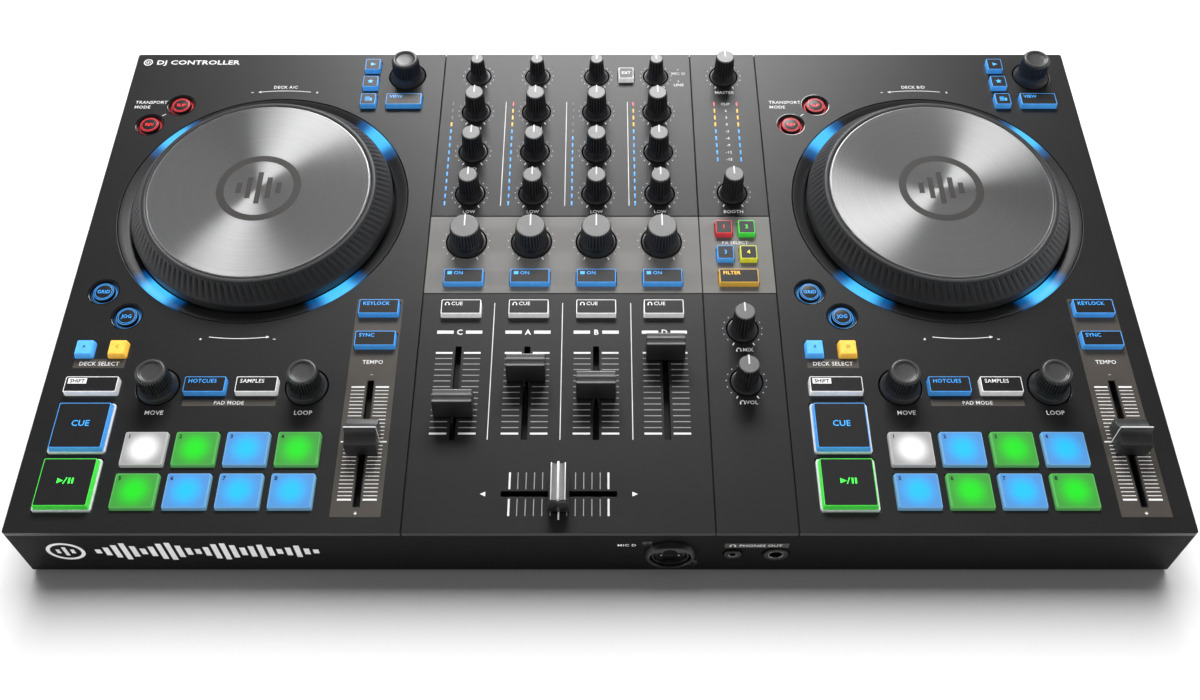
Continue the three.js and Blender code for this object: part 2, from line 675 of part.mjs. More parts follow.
// Combined microphone socket: a round collar, an annular groove and an insert with a jack bore.
function micSocket() {
  const { x, z, collar, face, cavity, insert, back } = MIC;
  const proud = FRONT - SOCKET_PROUD;
  const body = join([
    barrel(collar, proud, FRONT - FIT, x, z, face),
    barrel(face, FRONT - FIT - 0.5, back, x, z),
  ]);
  const groove = barrel(cavity, proud - 1, FRONT + MIC_GROOVE, x, z).subtract(
    barrel(insert, proud + 1.5, FRONT + MIC_GROOVE + 1, x, z),
  );
  const bore = barrel(JACK.bore, proud - 1, FRONT + JACK.depth, x, z);
  const solid = body.subtract(groove).subtract(bore);
  return named("mic_socket", solid, socketPlastic());
}

function phonesSockets() {
  const { jackX, miniX, z, back, side, height } = PHONES;
  const housing = block(
    [miniX - side, jackX + side],
    [FRONT + WALL + FIT, back],
    around(z, height),
  );
  const proud = FRONT - PHONES.proud;
  const body = join([
    housing,
    barrel(JACK.ring, proud, back - 1, jackX, z),
    barrel(MINI_JACK.ring, proud, back - 1, miniX, z),
  ]);
  const bores = barrel(JACK.bore, proud - 1, FRONT + JACK.depth - 2, jackX, z).add(
    barrel(MINI_JACK.bore, proud - 1, FRONT + MINI_JACK.depth, miniX, z),
  );
  return named("phones_sockets", body.subtract(bores), socketPlastic());
}

function rearSockets() {
  const { left, right, front, back, bottom, top } = REAR_BLOCK;
  const proud = REAR + SOCKET_PROUD;
  const root = front + 1;
  const phonos = [...LINE_IN_X, MASTER_PHONO_X].flatMap((x) =>
    [-1, 1].map((level) => ({ x, z: REAR_Z + level * PHONO.rise })),
  );
  const jacks = [...BOOTH_X, ...MASTER_JACK_X];
  const bodies = [
    block([left, right], [front, back], [bottom, top]),
    ...phonos.map(({ x, z }) => barrel(PHONO.ring, root, proud, x, z)),
    ...jacks.map((x) => barrel(JACK.ring, root, proud, x, REAR_Z)),
    barrel(POWER.ring, root, REAR - FIT, POWER.x, REAR_Z),
    block(around(USB.x, USB.width), [root, REAR - FIT], around(REAR_Z, USB.height)),
  ];
  const usbMouth = block(
    around(USB.x, USB.mouth),
    [REAR - USB.depth, REAR + 1],
    around(REAR_Z, USB.mouthHeight),
  );
  const tongue = block(
    around(USB.x, USB_TONGUE.width),
    [REAR - USB.depth - 1, REAR - 1],
    around(REAR_Z, USB_TONGUE.height),
  );
  const powerMouth = barrel(POWER.bore, REAR - POWER.depth, REAR + 1, POWER.x, REAR_Z);
  const powerPin = barrel(POWER.pin, REAR - POWER.depth - 1, REAR - 1, POWER.x, REAR_Z);
  const bores = [
    ...phonos.map(({ x, z }) => barrel(PHONO.bore, proud - PHONO.depth, proud + 1, x, z)),
    ...jacks.map((x) => barrel(JACK.bore, proud - JACK.depth, proud + 1, x, REAR_Z)),
    usbMouth.subtract(tongue),
    powerMouth.subtract(powerPin),
  ];
  return named("rear_sockets", join(bodies).subtract(join(bores)), socketPlastic());
}

// ---------------------------------------------------------------- the controller

function deck(name, side) {
  const x = side * DECK_X;
  return [
    lightRing(`light_ring_${name}`, x),
    jogRim(`jog_rim_${name}`, x),
    jogDisc(`jog_disc_${name}`, x),
    ...Object.entries(deckEncoders).map(([use, place]) =>
      knob(`${use}_encoder_${name}`, ENCODER_KNOB, onDeck(side, place), ENCODER_SIDES),
    ),
    tempoCap(`tempo_fader_${name}`, x + TEMPO_SLOT.x),
    deckKeys(`deck_keys_${name}`, side),
    pads(`pads_${name}`, side),
    playKey(`cue_button_${name}`, side, CUE_Y, keyPlastic()),
    playKey(`play_button_${name}`, side, PLAY_Y, playPlastic()),
  ];
}

function mixer() {
  return [
    ...mixerKnobs.map((k) => knob(k.name, k.kind, k)),
    ...CHANNELS.map((channel, i) =>
      mixerCap(`channel_fader_${channel}`, { x: channelX(i), y: CHANNEL_CAP_Y[channel] }),
    ),
    mixerCap("crossfader", { x: CHANNEL_MIDDLE, y: CROSS_SLOT.y }, true),
    mixerKeypad(),
  ];
}

const controller = new THREE.Group();
controller.name = "dj_controller";
controller.add(
  topCase(),
  bottomCase(),
  rubberFoot("rubber_foot_front", -1),
  rubberFoot("rubber_foot_rear", 1),
  mainBoard(),
  micSocket(),
  phonesSockets(),
  rearSockets(),
  ...deck("left", -1),
  ...deck("right", 1),
  ...mixer(),
);

export default controller;
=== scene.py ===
import math

import bmesh
import bpy
from mathutils import Matrix, Vector
from mathutils.geometry import delaunay_2d_cdt


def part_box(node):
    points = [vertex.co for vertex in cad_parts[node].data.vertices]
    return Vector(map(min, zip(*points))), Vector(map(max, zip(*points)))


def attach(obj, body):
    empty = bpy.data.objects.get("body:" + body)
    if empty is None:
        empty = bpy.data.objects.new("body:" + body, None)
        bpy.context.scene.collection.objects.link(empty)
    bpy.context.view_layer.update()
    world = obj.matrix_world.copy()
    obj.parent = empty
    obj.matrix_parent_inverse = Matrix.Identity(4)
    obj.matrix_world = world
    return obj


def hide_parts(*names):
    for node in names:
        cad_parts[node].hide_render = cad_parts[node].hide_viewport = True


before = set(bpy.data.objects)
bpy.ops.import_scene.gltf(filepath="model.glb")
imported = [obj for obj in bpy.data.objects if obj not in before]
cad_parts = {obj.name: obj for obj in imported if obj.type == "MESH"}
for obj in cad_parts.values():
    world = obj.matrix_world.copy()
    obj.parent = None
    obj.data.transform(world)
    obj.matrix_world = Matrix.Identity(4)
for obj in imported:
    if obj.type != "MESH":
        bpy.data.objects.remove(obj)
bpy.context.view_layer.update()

MM = 0.001
TAU = 2 * math.pi
case_low, case_high = [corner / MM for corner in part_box("top_case")]
TOP, WALL_BOTTOM = case_high.z, case_low.z
HALF_WIDTH, HALF_DEPTH = case_high.x, case_high.y
PANEL_THICKNESS = 3
SIDES = {"left": -1, "right": 1}
CHANNELS = ["c", "a", "b", "d"]


def place_of(node):
    """The middle of a node in plan, in millimetres."""
    low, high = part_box(node)
    return (low.x + high.x) / 2 / MM, (low.y + high.y) / 2 / MM


DECK_X, JOG_Y = place_of("jog_rim_right")
CHANNEL_X = [place_of(f"low_knob_{channel}")[0] for channel in CHANNELS]
MASTER_X = place_of("master_knob")[0]
TEMPO_X = place_of("tempo_fader_right")[0] - DECK_X
PAD_WIDTH, PAD_DEPTH = 20, 17.6

# ------------------------------------------------------------------------------- materials


class Look:
    """A material in the making. Node outputs are passed about as values."""

    def __init__(self, name):
        self.material = bpy.data.materials.new(name)
        self.material.use_nodes = True
        self.tree = self.material.node_tree
        self.place = self.node("ShaderNodeTexCoord", "Object")

    def node(self, kind, output, inputs=None, **settings):
        node = self.tree.nodes.new(kind)
        for name, value in settings.items():
            setattr(node, name, value)
        self.wire(node, inputs or {})
        return node.outputs[output]

    def wire(self, node, inputs):
        for name, value in inputs.items():
            if isinstance(value, bpy.types.NodeSocket):
                self.tree.links.new(value, node.inputs[name])
            else:
                node.inputs[name].default_value = value

    def noise(self, size, detail=3.0, source=None):
        """Noise whose features are about size millimetres across."""
        return self.node("ShaderNodeTexNoise", "Fac", {
            "Vector": source or self.place, "Scale": 1 / (size * MM), "Detail": detail,
            "Roughness": 0.55})

    def spread(self, source, low, high, start=0.3, end=0.7, **settings):
        """Stretches a value that runs from start to end, to run from low to high."""
        return self.node("ShaderNodeMapRange", "Result", {
            "Value": source, "From Min": start, "From Max": end, "To Min": low, "To Max": high,
        }, **settings)

    def mix(self, factor, first, second):
        tones = [tone if isinstance(tone, bpy.types.NodeSocket) else (*tone, 1)
                 for tone in (first, second)]
        return self.node("ShaderNodeMix", "Result", {
            "Factor": factor, "A": tones[0], "B": tones[1]}, data_type="RGBA")

    def vector(self, operation, *inputs):
        output = "Value" if operation == "LENGTH" else "Vector"
        return self.node("ShaderNodeVectorMath", output, dict(enumerate(inputs)),
                         operation=operation)

    def radius(self):
        return self.vector("LENGTH", self.vector("MULTIPLY", self.place, (1, 1, 0)))

    def axis(self, name, source=None):
        return self.node("ShaderNodeSeparateXYZ", name, {"Vector": source or self.place})

    def done(self, inputs, height=None, strength=0.0, depth=0.0):
        """Wires up the shader; height, strength and depth in millimetres make its bump."""
        if height:
            inputs["Normal"] = self.node("ShaderNodeBump", "Normal", {
                "Height": height, "Strength": strength, "Distance": depth * MM})
        self.wire(self.tree.nodes["Principled BSDF"], inputs)
        return self.material


def finish(name, colour, rough, mottle=0.08, rough_span=0.06, grain=0.35, relief=0.25, patch=18,
           metal=0.0, coat=0.0, specular=0.5, glow=0.0):
    """A moulded or painted surface: slow colour variation, uneven gloss and a fine grain."""
    look = Look(name)
    fine = look.noise(grain, 2.0)
    dark, light = [[c * (1 + change) for c in colour] for change in (-mottle, mottle)]
    tone = look.mix(look.spread(look.noise(patch), 0, 1), dark, light)
    inputs = {
        "Base Color": tone,
        "Roughness": look.spread(fine, rough - rough_span, rough + rough_span),
        "Metallic": metal, "Coat Weight": coat, "Coat Roughness": 0.08,
        "Specular IOR Level": specular,
    }
    # glow makes the surface give off light: the lamps of the lit mouldings, an even lift of the
    # floor, and painted glow on the print, pointers and key bezels
    if glow:
        inputs |= {"Emission Color": tone, "Emission Strength": glow}
    return look.done(inputs, fine, relief, grain * 0.1)


def grey(name, level, rough, **more):
    """A neutral finish with a fine grain."""
    return finish(name, (level, level, level), rough, **{"grain": 0.2, **more})


def lit(kind, tints):
    """Translucent mouldings lit from inside, each given by a colour and a glow."""
    return {tint: finish(f"{kind}_{tint}", colour, 0.38, mottle=0.1, grain=0.2, relief=0.12,
                         patch=3, coat=0.2, glow=glow)
            for tint, (*colour, glow) in tints.items()}


PANEL = finish("panel_plastic", (0.0105, 0.0105, 0.0107), 0.4, grain=0.28, relief=0.3, patch=30)
BAND = finish("band_plastic", (0.135, 0.131, 0.124), 0.38, grain=0.28, relief=0.3, patch=30)
FILM = finish("label_film", (0.054, 0.047, 0.04), 0.5, grain=0.22, relief=0.2, patch=12)
WALL = finish("wall_plastic", (0.009, 0.009, 0.0093), 0.55, grain=0.4, relief=0.35, patch=25,
              specular=0.06)
BLACK = finish("black_plastic", (0.006, 0.006, 0.0065), 0.34, grain=0.25, relief=0.2, patch=6)
KNOB = finish("knob_plastic", (0.022, 0.0225, 0.0245), 0.3, grain=0.22, relief=0.18, patch=6)
KNOB_TOP = grey("knob_top", 0.12, 0.38, grain=0.18, relief=0.18, patch=5, specular=0.8)
ENCODER_TOP = grey("encoder_top", 0.1, 0.34, grain=0.18, relief=0.18, patch=5, metal=0.6)
# White pointer paint that also glows faintly: painted glow, not a lamp
POINTER_PAINTED_GLOW = grey("pointer_white_painted_glow", 0.6, 0.4, relief=0.1, patch=3, glow=0.12)
RIM = finish("rim_rubber", (0.026, 0.0265, 0.028), 0.4, grain=0.3, relief=0.22, patch=9)
CAP = finish("cap_plastic", (0.03, 0.03, 0.031), 0.36, grain=0.2, relief=0.15, patch=6)
CAP_TOP = grey("cap_top", 0.2, 0.4, metal=0.3, relief=0.12, patch=5)
# Paler, part-metal copies of the cap top for the crossfader's ridge and lips: painted highlight
RIDGE_HIGHLIGHT = grey("cap_ridge_painted_highlight", 0.75, 0.34, metal=0.2, grain=0.15, relief=0.1, patch=4)
LIP_HIGHLIGHT = finish("cap_lip_painted_highlight", (0.28, 0.28, 0.283), 0.36, metal=0.4, grain=0.15, relief=0.1,
                   patch=4)
KEY_TOP = finish("key_top", (0.0125, 0.0125, 0.0135), 0.34, grain=0.2, relief=0.14, patch=5)
# Pale frame round the play and cue keys, given a faint painted glow
BEZEL_PAINTED_GLOW = finish("bezel_plastic_painted_glow", (0.55, 0.57, 0.58), 0.35, grain=0.2, relief=0.12, patch=4,
               glow=0.1)
GLOSS = finish("gloss_black", (0.006, 0.006, 0.007), 0.1, rough_span=0.03, grain=0.5,
               relief=0.05, coat=1)
# A near-black sheet under the seams: painted shade that keeps the gaps between the panel's parts
# dark
SEAM_SHADE = grey("seam_painted_shade", 0.003, 0.7, grain=0.3, relief=0.2)
FOOT = grey("foot_rubber", 0.012, 0.85, grain=0.5, relief=0.5, patch=8)
METAL = finish("contact_metal", (0.62, 0.61, 0.58), 0.28, metal=1.0, grain=0.15, relief=0.12,
               patch=3)
CHAMFER = finish("polished_edge", (0.64, 0.64, 0.65), 0.32, metal=0.7, grain=0.3, relief=0.05,
                 patch=30)
BRASS = finish("contact_gilt", (0.72, 0.5, 0.2), 0.27, metal=1.0, grain=0.15, relief=0.12,
               patch=3)
EMBLEM = finish("emblem_print", (0.03, 0.028, 0.026), 0.5, grain=0.2, relief=0.2, patch=5)
# White print with a painted glow that keeps it bright where little light falls; the print on the
# front wall has a stronger painted glow
PRINT_PAINTED_GLOW = grey("print_white_painted_glow", 0.62, 0.5, relief=0.15, patch=6, glow=0.22)
PRINT_FRONT_PAINTED_GLOW = grey("print_front_painted_glow", 0.62, 0.5, relief=0.15, patch=6, glow=0.5)
PRINT_DIM = grey("print_grey", 0.3, 0.5, relief=0.15, patch=6)
INK = finish("ink_dark", (0.012, 0.014, 0.02), 0.5, grain=0.2, relief=0.15, patch=6)
LAMP_OFF = grey("lamp_off", 0.11, 0.3, grain=0.3, relief=0.3, patch=2)
PHONO_RED = finish("phono_red", (0.45, 0.02, 0.02), 0.4, patch=4)
PHONO_WHITE = finish("phono_white", (0.7, 0.7, 0.68), 0.4, patch=4)

KEY_BODY = lit("key", {
    "blue": (0.048, 0.23, 0.56, 0.62),
    "white": (0.6, 0.6, 0.6, 0.6),
    "green": (0.045, 0.5, 0.045, 0.6),
    "red": (0.52, 0.035, 0.045, 0.6),
    "amber": (0.5, 0.29, 0.042, 0.55),
    "yellow": (0.5, 0.52, 0.035, 0.55),
})
LEGEND = lit("legend", {
    "blue": (0.045, 0.32, 0.8, 0.7),
    "white": (0.7, 0.7, 0.7, 0.4),
    "green": (0.05, 0.75, 0.06, 0.9),
    "red": (0.85, 0.03, 0.04, 0.7),
    "amber": (0.95, 0.5, 0.06, 0.7),
    "yellow": (0.9, 0.75, 0.04, 0.6),
})
METER = lit("meter", {
    "blue": (0.04, 0.27, 0.75, 0.65),
    "amber": (0.75, 0.38, 0.05, 0.65),
    "red": (0.75, 0.1, 0.11, 0.7),
})
SELECTOR = lit("selector", {
    "blue": (0.075, 0.34, 0.78, 0.5),
    "amber": (0.75, 0.42, 0.06, 0.5),
})


def board_finish():
    """Solder mask on the board, black mouldings above it."""
    look = Look("circuit_board")
    board_top = (TOP - 10.4) * MM
    raised = look.spread(look.axis("Z"), 0, 1, board_top, board_top + 0.1 * MM)
    return look.done({
        "Base Color": look.mix(raised, (0.006, 0.03, 0.014), (0.006, 0.006, 0.006)),
        "Roughness": look.spread(look.noise(1.5), 0.35, 0.6),
    })


def brushed_finish(side, lay):
    """Aluminium turned on a lathe: fine rings, and a highlight that fans out from the middle; lay
    is the direction of the brushing, in turns."""
    look = Look(f"brushed_aluminium_{side}")
    rings = look.node("ShaderNodeCombineXYZ", "Vector", {"X": look.radius()})
    fine = look.noise(0.3, 2.0, rings)
    broad = look.spread(look.noise(1.8, 2.0, rings), 0, 1)
    return look.done({
        "Base Color": look.mix(broad, (0.42, 0.42, 0.425), (0.46, 0.46, 0.46)),
        "Roughness": look.spread(fine, 0.35, 0.38),
        "Metallic": 0.88, "Anisotropic": 1.0, "Anisotropic Rotation": lay,
        "Tangent": look.node("ShaderNodeTangent", "Tangent", direction_type="RADIAL", axis="Z"),
    }, fine, 0.02, 0.01)


def ring_finish(arcs, reach):
    """A smoked ring that glows blue round each arc's middle, in degrees."""
    look = Look("light_ring")
    ramp = look.tree.nodes.new("ShaderNodeValToRGB")
    ramp.color_ramp.interpolation = "EASE"
    look.wire(ramp, {"Fac": look.node("ShaderNodeTexGradient", "Fac", {"Vector": look.place},
                                      gradient_type="RADIAL")})
    dim, edge, core = (0.0, 0.0, 0.0), (0.0, 0.06, 0.2), (0.05, 0.42, 0.85)
    stops = ramp.color_ramp.elements
    stops.remove(stops[1])
    stops[0].position, stops[0].color = 0, (*dim, 1)
    for arc in sorted((a + 180) % 360 for a in arcs):
        for offset, colour in ((-0.85, dim), (-0.6, edge), (-0.2, core), (0.2, core), (0.6, edge),
                               (0.85, dim)):
            stops.new((arc + offset * reach) / 360).color = (*colour, 1)
    speckle = look.noise(0.4)
    return look.done({
        "Base Color": look.mix(look.spread(speckle, 0, 1), (0.007, 0.007, 0.0075),
                               (0.01, 0.01, 0.0105)),
        "Roughness": look.spread(speckle, 0.3, 0.42),
        "Emission Color": ramp.outputs["Color"], "Emission Strength": 1.45,
    })


def pad_finish(name, edge, core, rim, strength):
    """Frosted silicone lit from below: bright in the middle, with a pale rim and flanks."""
    look = Look(name)
    middle = look.spread(look.radius(), 0, 1, 11 * MM, 0.5 * MM,
                         interpolation_type="SMOOTHERSTEP")
    share = look.vector("MULTIPLY", look.vector("ABSOLUTE", look.place),
                        (2 / (PAD_WIDTH * MM), 2 / (PAD_DEPTH * MM), 0))
    furthest = look.node("ShaderNodeMath", "Value", {
        0: look.axis("X", share), 1: look.axis("Y", share)}, operation="MAXIMUM")
    tone = look.mix(look.spread(furthest, 0, 1, 0.9, 0.985), look.mix(middle, edge, core), rim)
    speckle = look.noise(0.25)
    return look.done({
        "Base Color": tone, "Emission Color": tone, "Emission Strength": strength,
        "Roughness": look.spread(speckle, 0.42, 0.58),
    }, speckle, 0.2, 0.02)


BOARD = board_finish()
BRUSHED = {"left": brushed_finish("left", 0.115), "right": brushed_finish("right", 0.085)}
RING = ring_finish([40, 140, 231, 309], 17)
PAD_LOOK = {
    "white": pad_finish("pad_white", (0.22, 0.22, 0.22), (0.66, 0.66, 0.66), (0.34, 0.34, 0.34),
                        0.5),
    "green": pad_finish("pad_green", (0.03, 0.19, 0.027), (0.009, 0.42, 0.01), (0.08, 0.3, 0.08),
                        0.62),
    "blue": pad_finish("pad_blue", (0.048, 0.16, 0.37), (0.009, 0.29, 0.58), (0.12, 0.26, 0.39),
                       0.66),
}

# ------------------------------------------------------------------------------- shapes


class Shape:
    """Faces in millimetres, each with the index of its material."""

    def __init__(self):
        self.points, self.faces, self.indices = [], [], []

    def add(self, part, material=0, at=(0, 0, 0), turn=Matrix.Identity(4)):
        points, faces = part
        move = Matrix.Translation(at) @ turn
        start = len(self.points)
        self.points += [move @ Vector(p) for p in points]
        self.faces += [[start + i for i in face] for face in faces]
        self.indices += [material] * len(faces)

    def mesh(self, materials, crease=32, weld=False):
        """A mesh in metres; edges sharper than crease degrees stay sharp. Weld joins points."""
        mesh = bpy.data.meshes.new("shape")
        mesh.from_pydata([p * MM for p in self.points], [], self.faces)
        for material in materials:
            mesh.materials.append(material)
        mesh.polygons.foreach_set("material_index", self.indices)
        if weld:
            work = bmesh.new()
            work.from_mesh(mesh)
            bmesh.ops.remove_doubles(work, verts=work.verts, dist=0.0005 * MM)
            work.to_mesh(mesh)
            work.free()
        mesh.polygons.foreach_set("use_smooth", [True] * len(mesh.polygons))
        mesh.update()
        mesh.set_sharp_from_angle(angle=math.radians(crease))
        return mesh


def shown(name, data):
    item = bpy.data.objects.new(name, data)
    bpy.context.scene.collection.objects.link(item)
    return item


def piece(name, mesh, body="case", at=(0, 0, 0), replaces=()):
    """A visible piece that moves with a CAD body."""
    item = shown(name, mesh)
    item.location = Vector(at) * MM
    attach(item, body)
    if replaces:
        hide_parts(*replaces)
    return item


def stand_in(node, mesh, suffix="look"):
    """A finer shape in place of a moving CAD node, set at the panel's top over its middle."""
    return piece(f"{node}_{suffix}", mesh, node, (*place_of(node), TOP), [node])


def circle(radius, z, count=48):
    """A closed loop of points round the Z axis; radius may be a function of the angle."""
    loop = []
    for i in range(count):
        angle = TAU * i / count
        r = radius(angle) if callable(radius) else radius
        loop.append((r * math.cos(angle), r * math.sin(angle), z))
    return loop


def rounded_corners(x_span, y_span, corner_at, steps=5):
    """A rectangle's outline, each corner rounded by what corner_at gives for it."""
    points = []
    for quarter, (right, upper) in enumerate([(1, 1), (0, 1), (0, 0), (1, 0)]):
        x, y = x_span[right], y_span[upper]
        corner = corner_at(x, y)
        cx, cy = x - (2 * right - 1) * corner, y - (2 * upper - 1) * corner
        points += [(cx + corner * math.cos(a), cy + corner * math.sin(a))
                   for a in [math.pi / 2 * (quarter + i / steps) for i in range(steps + 1)]]
    return points


def rounded(width, depth, corner, z=0.0, x=0.0, y=0.0):
    """A rectangle with rounded corners, as a loop."""
    corner = max(min(corner, width / 2 - 1e-3, depth / 2 - 1e-3), 1e-3)
    outline = rounded_corners((x - width / 2, x + width / 2), (y - depth / 2, y + depth / 2),
                              lambda *_: corner)
    return [(px, py, z) for px, py in outline]


def loft(loops, ends=True, ring=False):
    """A skin over loops of equal length: closed at its ends, open, or joined into a ring."""
    count, total = len(loops[0]), len(loops)
    faces = []
    for k in range(total if ring else total - 1):
        base, above = k * count, (k + 1) % total * count
        faces += [(base + i, base + (i + 1) % count, above + (i + 1) % count, above + i)
                  for i in range(count)]
    if ends and not ring:
        faces.append(tuple(reversed(range(count))))
        faces.append(tuple(range((total - 1) * count, total * count)))
    return [p for loop in loops for p in loop], faces


def turned(profile, count=48):
    """A body of revolution; the profile lists radius and height from the bottom up."""
    return loft([circle(radius, z, count) for radius, z in profile])


def turned_ring(profile, count=48):
    """A ring whose closed outline is turned about the Z axis."""
    return loft([circle(radius, z, count) for radius, z in profile], ring=True)


def tube(outer, inner, bottom, top, count, bevel):
    """A ring with a square section and softened top edges."""
    return turned_ring([(inner, bottom), (outer, bottom), (outer, top - bevel),
                        (outer - bevel, top), (inner + bevel, top), (inner, top - bevel)], count)


def cushion(width, depth, bottom, top, corner=0.6, bevel=0.3, draft=0.0, crown=0.0):
    """A block with rounded corners and top edges; draft draws its top in, crown domes it."""
    steps = [(0, bottom), (0, min(0, top - bevel))]
    for i in range(4):
        angle = math.pi / 2 * i / 3
        steps.append((draft + bevel * (1 - math.cos(angle)),
                      top - bevel + bevel * math.sin(angle)))
    steps.append((draft + bevel + 0.08, top))
    loops = [rounded(width - 2 * edge, depth - 2 * edge, corner - edge * 0.5, z)
             for edge, z in steps]
    if crown:
        loops += [rounded(width * share, depth * share, corner, top + crown * (1 - share ** 2))
                  for share in (0.8, 0.55, 0.3)]
    return loft(loops)


def prism(outline, length, bevel):
    """An outline in the YZ plane, drawn out along X, with slightly smaller ends."""
    cy = sum(y for y, _ in outline) / len(outline)
    cz = sum(z for _, z in outline) / len(outline)

    def section(x, shrink):
        loop = []
        for y, z in outline:
            reach = math.hypot(y - cy, z - cz) or 1
            scale = (reach - shrink) / reach
            loop.append((x, cy + (y - cy) * scale, cz + (z - cz) * scale))
        return loop

    left = [(bevel - length / 2 - inset, shrink)
            for inset, shrink in ((bevel, bevel), (bevel * 0.7, bevel * 0.3), (0, 0))]
    return loft([section(x, shrink) for x, shrink in left]
                + [section(-x, shrink) for x, shrink in reversed(left)])


def arc_points(cx, cy, radius, start, end, steps):
    span = [math.radians(start + (end - start) * i / steps) for i in range(steps + 1)]
    return [(cx + radius * math.cos(a), cy + radius * math.sin(a)) for a in span]


def slab(outline, bottom, top):
    """A flat piece with any outline."""
    if sum(a[0] * b[1] - b[0] * a[1] for a, b in zip(outline, outline[1:] + outline[:1])) < 0:
        outline = outline[::-1]
    return loft([[(x, y, z) for x, y in outline] for z in (bottom, top)])


def bar(x, y, width, depth, bottom, top):
    return slab([(x + sx * width / 2, y + sy * depth / 2)
                 for sx, sy in ((-1, -1), (1, -1), (1, 1), (-1, 1))], bottom, top)


def ribbon(path, width, bottom, top):
    """A flat line of constant width along a path."""
    left, right = [], []
    for i, (x, y) in enumerate(path):
        before, after = path[max(i - 1, 0)], path[min(i + 1, len(path) - 1)]
        dx, dy = after[0] - before[0], after[1] - before[1]
        share = width / 2 / math.hypot(dx, dy)
        left.append((x - dy * share, y + dx * share))
        right.append((x + dy * share, y - dx * share))
    return slab(left + right[::-1], bottom, top)


def dot(x, y, radius, bottom, top, count=12):
    return slab(arc_points(x, y, radius, 0, 360 * (count - 1) / count, count - 1), bottom, top)


def annulus(x, y, outer, inner, bottom, top, steps=48):
    """A flat ring."""
    points, faces = turned_ring([(inner, bottom), (outer, bottom), (outer, top), (inner, top)],
                                steps)
    return [(px + x, py + y, pz) for px, py, pz in points], faces


def sign_bars(heights, pitch, width, x, y, bottom, top):
    """A sound wave drawn as upright bars."""
    half = (len(heights) - 1) / 2
    return [bar(x + (i - half) * pitch, y, width, tall, bottom, top)
            for i, tall in enumerate(heights)]


def headphones(x, y, size, bottom, top):
    """A headphones sign: a band and two ear cups."""
    centre = (x, y - size * 0.12)
    outside, inside = [arc_points(*centre, size * r, 0, 180, 12) for r in (0.48, 0.32)]
    cups = [bar(x + side * size * 0.38, y - size * 0.28, size * 0.26, size * 0.4, bottom, top)
            for side in (-1, 1)]
    return [slab(outside + inside[::-1], bottom, top), *cups]


def star(x, y, radius, bottom, top):
    outline = []
    for i in range(10):
        reach = radius if i % 2 == 0 else radius * 0.45
        angle = math.radians(90 + 36 * i)
        outline.append((x + reach * math.cos(angle), y + reach * math.sin(angle)))
    return slab(outline, bottom, top)


def arrow(x, y, size, direction, bottom, top):
    """A triangle that points along direction, in degrees."""
    tips = [math.radians(direction + turn) for turn in (0, 130, -130)]
    return slab([(x + size * math.cos(a), y + size * math.sin(a)) for a in tips], bottom, top)


CAP_HEIGHT = {}


def raw_letters(text, bold, align):
    curve = bpy.data.curves.new("letters", "FONT")
    curve.body = text
    curve.size = 10.0
    curve.align_x = align
    curve.offset = bold
    curve.extrude = 0.5
    curve.resolution_u = 2
    curve.space_character = 1.04
    item = shown("letters", curve)
    solid = item.evaluated_get(bpy.context.evaluated_depsgraph_get())
    mesh = solid.to_mesh()
    points = [tuple(v.co) for v in mesh.vertices]
    faces = [tuple(p.vertices) for p in mesh.polygons]
    solid.to_mesh_clear()
    bpy.data.objects.remove(item)
    bpy.data.curves.remove(curve)
    return points, faces


def letters(text, height, x, y, bottom, top, align="CENTER", bold=0.04, wide=1.0):
    """Flat letters whose capitals are height tall, with x, y at the middle of the capitals."""
    if bold not in CAP_HEIGHT:
        tall = [p[1] for p in raw_letters("H", bold, "LEFT")[0]]
        CAP_HEIGHT[bold] = (min(tall), max(tall))
    low, high = CAP_HEIGHT[bold]
    scale = height / (high - low)
    points, faces = raw_letters(text, bold, align)
    floor, ceiling = min(p[2] for p in points), max(p[2] for p in points)
    return [(x + px * scale * wide, y + (py - (low + high) / 2) * scale,
             bottom + (top - bottom) * (pz - floor) / (ceiling - floor))
            for px, py, pz in points], faces


# ------------------------------------------------------------------------------- the panel

# The rounding of its edges, the gap between its parts and the radius of its outer corners
EDGE, SEAM, CORNER = 0.22, 0.42, 1.2
# Seams: x of the two that bound the mixer and of the master strip's, y of the effect band's
MIXER_HALF, MASTER_SEAM = 88, 51.2
BAND_TOP, BAND_BOTTOM = 30, -19.2
# Radii of the round openings, and width and corner of the fader slots
JOG_HOLE, ENCODER_HOLE, ROUND_HOLE = 75.3, 10.4, 7.4
SLOT, SLOT_CORNER = 2.7, 0.3
# Radius of the opening under each kind of channel knob
KNOB_HOLES = {"gain": 7.1, "high": 8, "mid": 8, "low": 8, "filter": 10.6}
# Radius of the scale round each kind
SCALES = {"gain": 8.7, "high": 9.6, "mid": 9.6, "low": 9.6, "filter": 11.9}
MASTER_KNOBS = ("master_knob", "booth_knob", "phones_mix_knob", "phones_volume_knob")
ENCODERS = ("browse", "move", "loop")

KEY_GAP = 0.3
KEY_DEPTH, KEY_RISE, KEY_FOOT = 8.7, 3.0, -6.5
WIDE, SMALL, SHIFT, LIT = 19.8, 8.6, 25.2, 9.0
BROWSE_X, BROWSE_Y = 47.4, 111
MODE_Y, SELECT_Y = -73.65, -52.7
